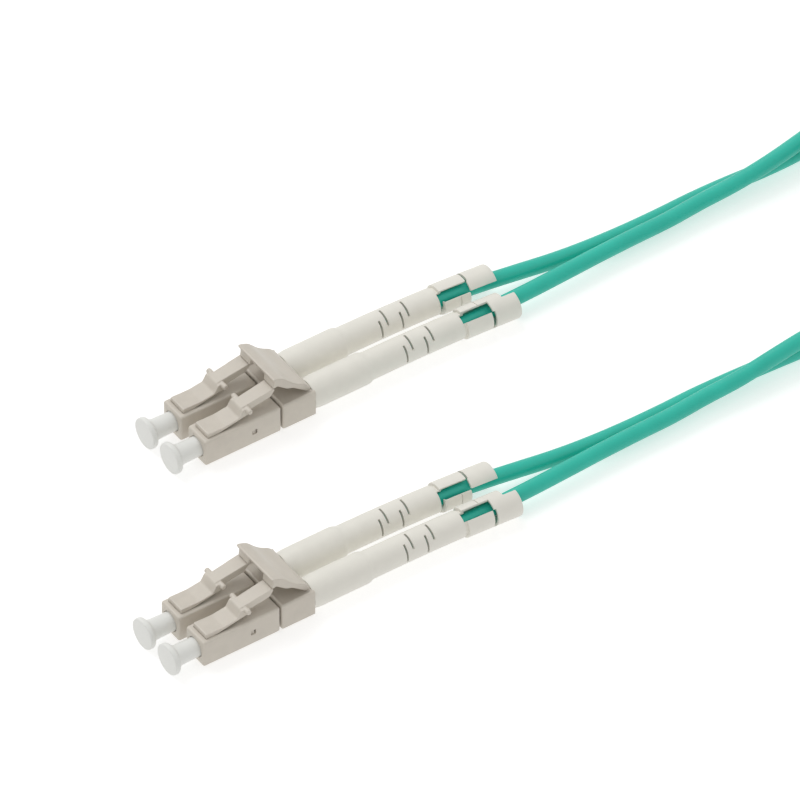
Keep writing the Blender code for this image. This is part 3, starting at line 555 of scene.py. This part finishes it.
TWIST_FALL = 2.2 * MM
TWIST_RADIUS = 0.42 * MM
TWIST_SPLAY = 4.5 * MM  # over the length, beyond the part that is twisted
TWIST_END = 0.8
TWIST_HALF_WIDTH = 0.75 * MM
# The route of the two legs behind their boots, in millimetres from the end's near plug.
LEGS = {
    "near": [(54, -0.2, 0.0), (58, -0.1, 0.02), (64, 0.15, 0.08), (70, 0.45, 0.1), (76, 0.65, 0.12),
             (82, 0.75, 0.15)],
    "far": [(54, 4.72, 0.0), (58, 4.25, -0.2), (64, 3.73, -0.7), (70, 3.43, -1.05), (76, 3.23, -1.15),
            (82, 3.25, -1.2)],
}
# The pair's route from there: x, y of its middle, height of its lower strand over the lowest, and lean from
# upright in degrees.
PAIR = {
    "a": [(88, 2.26, 0.05, 57), (94, 2.2, 0.1, 49), (100, 2.15, 0.15, 31), (106, 2.55, 0.25, 12),
          (112, 3.48, 0.35, 0), (118, 4.92, 0.35, 0), (124, 6.86, 0.35, 0)],
    "b": [(88, 2.26, 0.05, 57), (94, 2.2, 0.1, 49), (100, 2.2, 0.15, 31), (106, 2.2, 0.25, 12),
          (112, 2.16, 0.35, 0), (118, 1.85, 0.45, 0), (124, 1.26, 1.05, 0), (130, 0.38, 2.15, 0),
          (136, -0.79, 3.45, 0), (142, -2.25, 4.65, 0), (148, -4.0, 5.55, 0)],
}


def boot_lean(x, plug):
    """How far a boot, and the cord in its tube, have bent aside at this distance from the plug's face."""
    return -BOOT_LEAN[plug] * (max(0.0, x - LEAN_START) / (BOOT_END - LEAN_START)) ** 2


def smooth_route(stations, count):
    """Even points along a cubic curve through the stations."""
    stations = np.array(stations, float)
    steps = np.linalg.norm(np.diff(stations, axis=0), axis=1)
    reach = np.concatenate([[0], np.cumsum(steps)])
    tangents = np.gradient(stations, reach, axis=0)
    fine = np.linspace(0, reach[-1], 40 * len(stations))
    part = np.clip(np.searchsorted(reach, fine, side="right") - 1, 0, len(steps) - 1)
    u = ((fine - reach[part]) / steps[part])[:, None]
    long = steps[part][:, None]
    curve = ((2 * u**3 - 3 * u**2 + 1) * stations[part] + (u**3 - 2 * u**2 + u) * long * tangents[part]
             + (3 * u**2 - 2 * u**3) * stations[part + 1] + (u**3 - u**2) * long * tangents[part + 1])
    along = np.concatenate([[0], np.cumsum(np.linalg.norm(np.diff(curve, axis=0), axis=1))])
    even = np.linspace(0, along[-1], count + 1)
    return np.column_stack([np.interp(even, along, curve[:, k]) for k in range(3)])


def coil_heading(turn):
    angle = math.radians(COIL_ENTRY - 360 * turn)
    return np.array((math.sin(angle), -math.cos(angle), 0.0))


def coil_points(strand_height):
    """One strand's turns from the near plug of end a: they spiral in, climb a layer and spiral out again."""
    points = []
    for step in range(round(COIL_TURNS * COIL_POINTS) + 1):
        turn = step / COIL_POINTS
        angle = math.radians(COIL_ENTRY - 360 * turn)
        radius = COIL_INNER_RADIUS + COIL_STEP * abs(turn - COIL_TURNS / 2)
        climb = min(1.0, max(0.0, 2 * (turn - COIL_TURNS / 2) + 0.5))
        points.append(np.array((
            COIL_CENTRE[0] + radius * math.cos(angle),
            COIL_CENTRE[1] + radius * math.sin(angle),
            strand_height + COIL_LAYER * (3 * climb**2 - 2 * climb**3),
        )))
    return points


def run_stations(end, strand, across, radius):
    """A strand's stations from inside its boot to the coil, from the near plug of its own end."""
    stations = [(x, across + boot_lean(x, strand), 0.0)
                for x in (JACKET_START, *np.linspace(LEAN_START, TUBE_END, 5))]
    stations += scaled(LEGS[strand])
    side = 0.5 if strand == "near" else -0.5
    for x, y, rise, lean_angle in PAIR[end]:
        tilt = math.radians(lean_angle)
        middle = radius - FLOOR_DROP + rise * MM + STRAND_PITCH / 2 * math.cos(tilt)
        stations.append((x * MM, y * MM - side * STRAND_PITCH * math.sin(tilt),
                         middle + side * STRAND_PITCH * math.cos(tilt)))
    return stations


def strand_path(strand, radius):
    """The whole centreline of one strand, from boot to boot."""
    origins = {end: np.array(plug_place(end + "_near")) for end in ENDS}
    across = plug_pitch() if strand == "far" else 0.0
    height = radius + COIL_FLOAT - FLOOR_DROP + (STRAND_PITCH if strand == "near" else 0.0)
    turns = [origins["a"] + point for point in coil_points(height)]
    runs = {}
    joints = {"a": (turns[0], coil_heading(0)), "b": (turns[-1], -coil_heading(COIL_TURNS))}
    for end, (meets, heading) in joints.items():
        stations = [origins[end] + np.array(p) for p in run_stations(end, strand, across, radius)]
        stations += [*(meets - heading * lead for lead in COIL_LEADS), meets]
        reach = meets[0] - stations[0][0]
        runs[end] = smooth_route(stations, round(reach / RUN_STEP))
    return np.array([*runs["a"][:-1], *turns, *runs["b"][::-1][1:]])


def jacket(path, other, radius, sides=28):
    """A round jacket along its path, with half of the thin web that joins it to the other strand's."""
    bm = bmesh.new()
    lay = bm.loops.layers.uv.new("jacket")
    ahead = np.gradient(path, axis=0)
    ahead /= np.linalg.norm(ahead, axis=1)[:, None]
    aside = other - path
    aside -= (aside * ahead).sum(axis=1)[:, None] * ahead
    apart = np.linalg.norm(aside, axis=1)
    aside /= apart[:, None]
    upward = np.cross(ahead, aside)
    joined = np.clip((WEB_REACH - apart) / WEB_FADE, 0, 1)
    edge = radius + joined * (apart / 2 + WEB_OVERLAP - radius)
    angles = [0.0, *np.linspace(WEB_HALF_ARC, math.tau - WEB_HALF_ARC, sides - 1)]
    rings = []
    for k, centre in enumerate(path):
        ring = []
        for i, angle in enumerate(angles):
            reach = edge[k] if i == 0 else radius
            point = centre + reach * (math.cos(angle) * aside[k] + math.sin(angle) * upward[k])
            ring.append(bm.verts.new(point))
        rings.append(ring)
    along = np.concatenate([[0], np.cumsum(np.linalg.norm(np.diff(path, axis=0), axis=1))])
    for k, (first, second) in enumerate(zip(rings, rings[1:])):
        for i in range(sides):
            j = (i + 1) % sides
            face = bm.faces.new((first[i], first[j], second[j], second[i]))
            places = ((i, k), (i + 1, k), (i + 1, k + 1), (i, k + 1))
            for loop, (side, station) in zip(face.loops, places):
                loop[lay].uv = (side / sides, along[station])
    bm.faces.new(list(reversed(rings[0])))
    bm.faces.new(rings[-1])
    bmesh.ops.recalc_face_normals(bm, faces=bm.faces)
    return as_mesh(bm)


def twist_tie(angle, radius):
    """A flat ribbon round the coil's turns, whose ends are twisted together inside the coil."""
    inner = COIL_INNER_RADIUS - radius - TIE_PLAY
    outer = COIL_INNER_RADIUS + COIL_STEP * COIL_TURNS / 2 + radius + TIE_PLAY
    low, high = TIE_GAP, COIL_FLOAT + COIL_LAYER + STRAND_PITCH + 2 * radius + TIE_GAP
    thick = TIE_THICK
    loop = [(inner - thick, low), (outer + thick, low), (outer + thick, high + thick),
            (inner - thick, high + thick)]
    hole = [(inner, low + thick), (outer, low + thick), (outer, high), (inner, high)]
    past = TIE_HALF_WIDTH + PAST
    band = carved(extruded(rounded(loop, 1.0 * MM, 6), "Y", -TIE_HALF_WIDTH, TIE_HALF_WIDTH),
                  [extruded(rounded(hole, 0.8 * MM, 6), "Y", -past, past)])
    bm = as_bmesh(band)
    for half in (0, 1):
        rings = [ribbon_ring(bm, Vector((inner, 0, 0.55 * high)), half, step / TWIST_STEPS)
                 for step in range(TWIST_STEPS + 1)]
        for first, second in zip(rings, rings[1:]):
            for i in range(4):
                bm.faces.new((first[i], first[(i + 1) % 4], second[(i + 1) % 4], second[i]))
        bm.faces.new(rings[0])
        bm.faces.new(rings[-1])
    bmesh.ops.recalc_face_normals(bm, faces=bm.faces)
    turn = Matrix.Rotation(math.radians(angle), 3, "Z")
    bmesh.ops.rotate(bm, cent=(0, 0, 0), matrix=turn, verts=bm.verts)
    return as_mesh(bm)


def ribbon_ring(bm, knot, half, t):
    """The four corners of one of the ribbon's two ends at this share of the way from the knot."""
    twist = math.pi * half + math.tau * TWIST_TURNS * t
    centre = knot + Vector((-TWIST_START - TWIST_REACH * t, 0, -TWIST_FALL * t**2))
    spread = TWIST_RADIUS + TWIST_SPLAY * max(0.0, t - TWIST_END)
    side = Vector((0, math.cos(twist), math.sin(twist)))
    flat = Vector((0, -math.sin(twist), math.cos(twist)))
    ring = []
    for a, b in ((1, 1), (1, -1), (-1, -1), (-1, 1)):
        ring.append(bm.verts.new(centre + side * (spread + a * TIE_THICK / 2) + flat * b * TWIST_HALF_WIDTH))
    return ring


class PATCH_OT_cords(bpy.types.Operator):
    """Lay the twin cord from boot to boot, with its coil and the coil's ties"""
    bl_idname = "patch.cords"
    bl_label = "Cords"

    TIE_ANGLES = (0.0, 180.0)

    def execute(self, context):
        look = context.scene.patch_cord
        finish = extruded_jacket("extruded_soft_jacket", tuple(look.jacket_colour))
        paths = {strand: strand_path(strand, look.jacket_radius) for strand in PLUGS}
        start = plug_place("a_near")
        ribbon = moulded_plastic("pvc_tie_ribbon", tuple(look.tie_colour), roughness=0.35)
        for number, angle in enumerate(self.TIE_ANGLES):
            at = Vector((start.x + COIL_CENTRE[0], start.y + COIL_CENTRE[1], 0))
            mesh = twist_tie(angle, look.jacket_radius)
            settle(f"coil_tie_{number + 1}", mesh, at, ribbon, "root", ())
        for strand, other in (("near", "far"), ("far", "near")):
            mesh = jacket(paths[strand], paths[other], look.jacket_radius)
            nodes = [f"{strand}_cord_{part}" for part in ("run_a", "coil", "run_b")]
            piece = settle(strand + "_jacket", mesh, Vector(), finish, "root", nodes, 40)
        return {"FINISHED"}


# ---------------------------------------------------------------- plug bodies and latch arms

class PATCH_OT_housings(bpy.types.Operator):
    """Model the square plug bodies"""
    bl_idname = "patch.housings"
    bl_label = "Plug bodies"

    # Places along the body from its face, and the bore's radius from each place on.
    MOUTH_CHAMFER = 0.12 * MM
    NECK, NECK_RADIUS = 3.8 * MM, 1.2 * MM
    CHAMBER, CHAMBER_RADIUS = 4.6 * MM, 1.65 * MM
    REAR, REAR_RADIUS = 6.9 * MM, 1.85 * MM
    WINDOW = 8.45 * MM  # middle of the snap window
    SEAT_FRONT, SEAT_FLAT_END, SEAT_END = 0.83 * MM, 3 * MM, 6.5 * MM
    SEAT_DEPTH = 0.35 * MM
    SEAT_PLAY = 0.05 * MM  # beside the latch arm

    def execute(self, context):
        look = context.scene.patch_plug
        finish = moulded_plastic("moulded_thermoplastic_body", tuple(look.body_colour))
        mesh = self.body(look)
        for key in PLUG_KEYS:
            settle("plug_body_" + key, mesh, plug_place(key), finish, "root", ["housing_" + key],
                   35)
        return {"FINISHED"}

    def body(self, look):
        low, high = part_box("housing_a_near")
        long, half = high[0] - low[0], (high[1] - low[1]) / 2
        blank = rounded_box((0, -half, -half), (long, half, half), look.fillet, 5)
        mouth, chamfer = look.mouth_radius, self.MOUTH_CHAMFER
        profile = [(-PAST, 0), (-PAST, mouth + chamfer + PAST), (chamfer, mouth), (self.NECK, mouth),
                   (self.NECK, self.NECK_RADIUS), (self.CHAMBER, self.NECK_RADIUS),
                   (self.CHAMBER, self.CHAMBER_RADIUS), (self.REAR, self.CHAMBER_RADIUS),
                   (self.REAR, self.REAR_RADIUS), (long + PAST, self.REAR_RADIUS), (long + PAST, 0)]
        bore = turned(rounded(profile, [0, 0, 0.15 * MM] + [0] * 8, closed=False), closed=False)
        reach, rise = look.window_length / 2, look.window_height / 2
        window = rounded_box((self.WINDOW - reach, -half - PAST, -rise),
                             (self.WINDOW + reach, half + PAST, rise), 0.12 * MM, 2)
        seat_low, clear = half - self.SEAT_DEPTH, half + 1 * MM
        hollow = [(self.SEAT_FRONT, seat_low), (self.SEAT_FLAT_END, seat_low),
                  (self.SEAT_END, half + 0.01 * MM), (self.SEAT_END, clear), (self.SEAT_FRONT, clear)]
        beside = look.arm_half_width + self.SEAT_PLAY
        return carved(blank, [bore, window, extruded(hollow, "Y", -beside, beside)])


class PATCH_OT_latches(bpy.types.Operator):
    """Model the latch arms on the plug bodies"""
    bl_idname = "patch.latches"
    bl_label = "Latch arms"

    RAMP = ((0.87, 2.06), (0.87, 2.98), (3.9, 2.88), (6.25, 3.22), (6.92, 4.38), (8.1, 4.4), (8.15, 3.3),
            (2.1, 2.06))
    TAIL = ((6.2, 3.1, 0.25), (6.9, 4.45, 0.25), (12.45, 5.42, 0.08), (12.62, 5.1, 0.15),
            (11.95, 4.15, 0.25), (8.0, 3.36, 0.25))
    TAIL_END = 12.5 * MM
    TAIL_TAPER = 0.28  # share of the end's width that the tail would lose on its way to the plug's face
    EARS = ((-2.3, 0), (-2.3, 0.42), (2.3, 0.42), (2.3, 0))
    EARS_AT = (7.75 * MM, 0, 4.08 * MM)
    VOXEL = 0.06 * MM

    def execute(self, context):
        look = context.scene.patch_plug
        finish = moulded_plastic("moulded_thermoplastic_body", tuple(look.body_colour))
        mesh = self.arm(look)
        for key in PLUG_KEYS:
            settle("latch_" + key, mesh, plug_place(key), finish, "latch_" + key, ["latch_arm_" + key],
                   0)
        return {"FINISHED"}

    def arm(self, look):
        wide, slim = look.arm_half_width, look.tail_half_width
        pad = extruded(shaped(self.RAMP, 0.2), "Y", -wide, wide)
        neck = extruded(shaped(self.TAIL), "Y", -slim, slim)
        for vert in neck.verts:
            vert.co.y *= 1 - self.TAIL_TAPER + self.TAIL_TAPER * vert.co.x / self.TAIL_END
        bar = turned(shaped(self.EARS, 0.3, closed=False), 24, closed=False)
        across = Matrix.Rotation(math.pi / 2, 3, "Z")
        bmesh.ops.rotate(bar, cent=(0, 0, 0), matrix=across, verts=bar.verts)
        bmesh.ops.translate(bar, vec=self.EARS_AT, verts=bar.verts)
        return moulded(carved(pad, [neck, bar], "UNION"), self.VOXEL)


# ---------------------------------------------------------------- clip and trigger

class PATCH_OT_clips(bpy.types.Operator):
    """Model the clips that hold two plugs together"""
    bl_idname = "patch.clips"
    bl_label = "Duplex clips"

    HALF_HEIGHT = 2.25 * MM
    BORE_RADIUS = 1.6 * MM
    WELL_FRONT = 0.35 * MM  # from the clip's front face

    def execute(self, context):
        look = context.scene.patch_clip
        finish = moulded_plastic("moulded_thermoplastic_clip", tuple(look.clip_colour))
        mesh = self.clip(look)
        for end in ENDS:
            settle("clip_" + end, mesh, plug_place(end + "_near"), finish, "root", ["duplex_clip_" + end],
                   35)
        return {"FINISHED"}

    def clip(self, look):
        front, rear = span("duplex_clip_a")
        side, hole = self.HALF_HEIGHT, self.BORE_RADIUS
        pitch = plug_pitch()
        blank = box((front, -side, -side), (rear, pitch + side, side))
        fore = [edge for edge in blank.edges if min(vert.co.x for vert in edge.verts) < rear - 0.01 * MM]
        round_edges(blank, fore, look.fillet, 5)
        bores = []
        for across in (0.0, pitch):
            bore = turned([(front - PAST, 0), (front - PAST, hole), (rear + PAST, hole), (rear + PAST, 0)],
                          48, closed=False)
            bmesh.ops.translate(bore, verts=bore.verts, vec=(0, across, 0))
            bores.append(bore)
        wall = look.side_wall
        well = rounded_box((front + self.WELL_FRONT, -side + wall, side - look.well_depth),
                           (rear + 1 * MM, pitch + side - wall, side + 1 * MM), 0.15 * MM, 3)
        return carved(blank, [*bores, well])


class PATCH_OT_triggers(bpy.types.Operator):
    """Model the triggers that press the latch arms"""
    bl_idname = "patch.triggers"
    bl_label = "Triggers"

    LEVER = ((12.25, 7.1, 0.06), (12.5, 7.27, 0.14), (13.7, 6.82, 0.5), (14.3, 6.37, 0.5), (15.4, 5.17, 0.6),
             (16.4, 4.38, 0.5), (17.5, 3.8, 0.4), (18.1, 3.3, 0.3), (18.6, 2.72, 0.2), (18.6, 2.17, 0.1),
             (18.0, 2.14, 0.15), (15.7, 3.97, 0.4), (14.6, 4.36, 0.4), (12.85, 5.8, 0.15))
    BESIDE = 1.36 * MM  # from each plug's axis to the lever's side
    PAD = ((12.28, 5.53), (12.7, 5.6), (13.3, 5.75), (13.9, 5.85), (13.6, 6.5), (12.45, 6.85))
    PAD_HALF_WIDTH = 1.26 * MM
    PAD_SHIFTS = (-0.06 * MM, -0.3 * MM)  # from the near plug's axis and from the far one's
    VOXEL = 0.065 * MM

    def execute(self, context):
        look = context.scene.patch_clip
        finish = moulded_plastic("moulded_thermoplastic_clip", tuple(look.clip_colour))
        mesh = self.trigger()
        for end in ENDS:
            settle("trigger_lever_" + end, mesh, plug_place(end + "_near"), finish, "trigger_" + end,
                   ["trigger_" + end], 0)
        return {"FINISHED"}

    def trigger(self):
        pitch = plug_pitch()
        lever = extruded(shaped(self.LEVER), "Y", -self.BESIDE, pitch + self.BESIDE)
        pads = []
        for axis, shift in zip((0.0, pitch), self.PAD_SHIFTS):
            middle = axis + shift
            pads.append(extruded(shaped(self.PAD, 0.06), "Y", middle - self.PAD_HALF_WIDTH,
                                 middle + self.PAD_HALF_WIDTH))
        return moulded(carved(lever, pads, "UNION"), self.VOXEL)


# ---------------------------------------------------------------- boots and caps

class PATCH_OT_boots(bpy.types.Operator):
    """Model the slotted boots behind the plugs"""
    bl_idname = "patch.boots"
    bl_label = "Boots"

    # Arcs are in degrees from -Y over the top, and places are measured from the plug's face.
    CUT_RADII = (1 * MM, 3 * MM)
    CUT_END = 54.4 * MM
    SLOT_ARC = 78.0
    SLOTS = (((34.8, 38.3), 22.0), ((35.95, 39.45), 67.0))  # places in millimetres, and their arcs' middles
    TAIL_TURN = {"near": 0.0, "far": 161.5}
    TAIL_SIDE = -23.0  # middle of the tail's side that is joined to the tube
    WINDOW_ARC = 46.0
    CHANNEL_END = {"near": 49.2 * MM, "far": 49.45 * MM}
    BRIDGE_ARC = 45.0
    PAST_ARC = 1.0  # how far a slot reaches past the edge of its wall
    # The joined half wall's slot, from the wall's two edges: it leaves the bridge on the lower side.
    JOINED_SLOT = {"near": (BRIDGE_ARC, PAST_ARC), "far": (-PAST_ARC, -BRIDGE_ARC)}
    FREE_SLOT = 0.6 * MM
    FREE_WALL_END = {"near": 51.8 * MM, "far": 49.5 * MM}
    SEAM = (47.85 * MM, 47.97 * MM)
    SEAM_RADIUS = 2.2 * MM
    COLLAR = 49.8 * MM
    COLLAR_ARC = 214.0
    LEAN_PARTS = 24

    def execute(self, context):
        look = context.scene.patch_boot
        finish = moulded_plastic("moulded_flexible_boot", tuple(look.boot_colour), roughness=0.5,
                                 mottle=0.03, grain=0.2)
        for plug in PLUGS:
            mesh = self.bent(self.boot(look, plug), plug)
            for end in ENDS:
                key = f"{end}_{plug}"
                settle("strain_relief_" + key, mesh, plug_place(key), finish, "root", ["boot_" + key],
                       35)
        return {"FINISHED"}

    def bent(self, straight, plug):
        """The boot bent aside from its neck on."""
        bm = as_bmesh(straight)
        for part in range(self.LEAN_PARTS):
            place = LEAN_START + (BOOT_END - LEAN_START) * part / self.LEAN_PARTS
            bmesh.ops.bisect_plane(bm, geom=[*bm.verts, *bm.edges, *bm.faces], dist=1e-6,
                                   plane_co=(place, 0, 0), plane_no=(1, 0, 0))
        for vert in bm.verts:
            vert.co.y += boot_lean(vert.co.x, plug)
        return as_mesh(bm)

    def boot(self, look, plug):
        bore = look.bore_radius / MM
        wall = [(18.95, 1.95), (18.95, 2.26), (20.2, 2.45, 0.4), (28.45, 2.45, 0.35), (29.05, 2.17, 0.3),
                (44.65, 2.1, 0.12), (44.65, 1.88), (45.1, 1.88), (45.1, 2.35, 0.12), (53.9, 2.35, 0.3),
                (53.9, 2.0, 0.1), (45.5, 2.0), (45.5, bore), (26.2, bore), (25.9, 1.95)]
        return carved(turned(shaped(wall)), self.flex_slots(look) + self.tail_cuts(plug))

    def flex_slots(self, look):
        cuts = []
        for places, centre in self.SLOTS:
            for place in places:
                low = place * MM - look.slot_width / 2
                for side in (0, 180):
                    start = centre + side - self.SLOT_ARC / 2
                    cuts.append(sector(low, low + look.slot_width, start, start + self.SLOT_ARC,
                                       *self.CUT_RADII))
        return cuts

    def tail_cuts(self, plug):
        """Two windows, a slot at the end of each half wall, a seam, and the collar's opening."""
        channel_end, inner, outer = self.CHANNEL_END[plug], *self.CUT_RADII
        joined = self.TAIL_SIDE + self.TAIL_TURN[plug]
        free = joined + 180
        half_window, half_wall = self.WINDOW_ARC / 2, (180 - self.WINDOW_ARC) / 2
        half_gap = (360 - self.COLLAR_ARC) / 2
        before, after = self.JOINED_SLOT[plug]
        window_end = (channel_end + self.COLLAR) / 2
        spans = [(TUBE_END, window_end, joined + side - half_window, joined + side + half_window, inner)
                 for side in (90, 270)]
        spans += [
            (channel_end, self.COLLAR, joined - half_wall + before, joined + half_wall + after, inner),
            (TUBE_END, TUBE_END + self.FREE_SLOT, free - half_wall + self.BRIDGE_ARC,
             free + half_wall + self.PAST_ARC, inner),
            (*self.SEAM, free - half_wall - self.PAST_ARC, free + half_wall + self.PAST_ARC,
             self.SEAM_RADIUS),
            (self.FREE_WALL_END[plug], self.CUT_END, free - half_gap, free + half_gap, inner),
        ]
        return [sector(low, high, first, last, radius, outer) for low, high, first, last, radius in spans]


class PATCH_OT_caps(bpy.types.Operator):
    """Model the dust caps over the ferrules"""
    bl_idname = "patch.caps"
    bl_label = "Dust caps"

    # In millimetres: the cap's own face, in front of the plug's, and its flange's radius.
    FACE = -4.74
    FLANGE = 2.43

    def execute(self, context):
        look = context.scene.patch_cap
        finish = moulded_plastic("moulded_polyethylene_cap", tuple(look.cap_colour), roughness=0.38,
                                 mottle=0.02, grain=0.25)
        back = self.FACE + look.rim / MM
        profile = [(self.FACE, 0), (self.FACE, self.FLANGE, 0.22), (back, self.FLANGE, 0.3),
                   (-3.6, 1.76, 0.3), (-2.9, 1.56, 0.4), (0.0, 1.5, 0.3), (2.5, 1.45, 0.12),
                   (2.5, 0.8, 0.08), (-2.6, 0.8), (-2.6, 0)]
        mesh = as_mesh(turned(shaped(profile, closed=False), closed=False))
        for key in PLUG_KEYS:
            settle("cap_" + key, mesh, plug_place(key), finish, "dust_cap_" + key, ["dust_cap_" + key],
                   40)
        return {"FINISHED"}


class PATCH_OT_inner_pieces(bpy.types.Operator):
    """Finish the pieces inside the plugs, which keep their shapes"""
    bl_idname = "patch.inner_pieces"
    bl_label = "Inner pieces"

    FLOAT = 0.6 * MM  # how far the ferrule can be pushed back

    def execute(self, context):
        beige = tuple(c * 0.9 for c in context.scene.patch_plug.body_colour)
        finishes = {
            "ferrule_holder": drawn_metal("turned_nickel_holder", linear("#C2BFB8"), 0.25),
            "ferrule": moulded_plastic("ground_zirconia_ferrule", linear("#EEEEE8"), 0.12, 0.01, ior=2.1),
            "spring": drawn_metal("drawn_spring_wire", linear("#B4B5B6"), 0.3),
            "rear_body": moulded_plastic("moulded_thermoplastic_rear_body", beige),
            "crimp_sleeve": drawn_metal("drawn_crimp_tube", linear("#C9B88A"), 0.35),
            "buffered_fibre": moulded_plastic("extruded_fibre_buffer", linear("#ECE9DC"), 0.4),
        }
        for kind, finish in finishes.items():
            for key in PLUG_KEYS:
                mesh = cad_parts[f"{kind}_{key}"].data
                mesh.materials.clear()
                mesh.materials.append(finish)
        for key in PLUG_KEYS:
            self.compress(key)
        return {"FINISHED"}

    def compress(self, key):
        """Gives the spring its own copy of its mesh, which keeps its shape."""
        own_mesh(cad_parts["spring_" + key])


# ---------------------------------------------------------------- add-on

OPERATORS = (
    PATCH_OT_stage,
    PATCH_OT_cords,
    PATCH_OT_housings,
    PATCH_OT_latches,
    PATCH_OT_clips,
    PATCH_OT_triggers,
    PATCH_OT_boots,
    PATCH_OT_caps,
    PATCH_OT_inner_pieces,
)


class PATCH_PT_panel(bpy.types.Panel):
    """Lists the steps that make the patch cord"""
    bl_idname = "PATCH_PT_panel"
    bl_label = "Patch Cord"
    bl_space_type = "VIEW_3D"
    bl_region_type = "UI"
    bl_category = "Patch Cord"

    def draw(self, context):
        for key in SETTINGS:
            group = getattr(context.scene, key)
            for name in group.__annotations__:
                self.layout.prop(group, name)
        for step in OPERATORS:
            self.layout.operator(step.bl_idname)


def register():
    for key, group in SETTINGS.items():
        bpy.utils.register_class(group)
        setattr(bpy.types.Scene, key, bpy.props.PointerProperty(type=group))
    for step in (*OPERATORS, PATCH_PT_panel):
        bpy.utils.register_class(step)


def unregister():
    for step in reversed((*OPERATORS, PATCH_PT_panel)):
        bpy.utils.unregister_class(step)
    for key, group in reversed(SETTINGS.items()):
        delattr(bpy.types.Scene, key)
        bpy.utils.unregister_class(group)


def main():
    register()
    for step in OPERATORS:
        group, name = step.bl_idname.split(".")
        getattr(getattr(bpy.ops, group), name)()


if __name__ == "__main__":
    main()
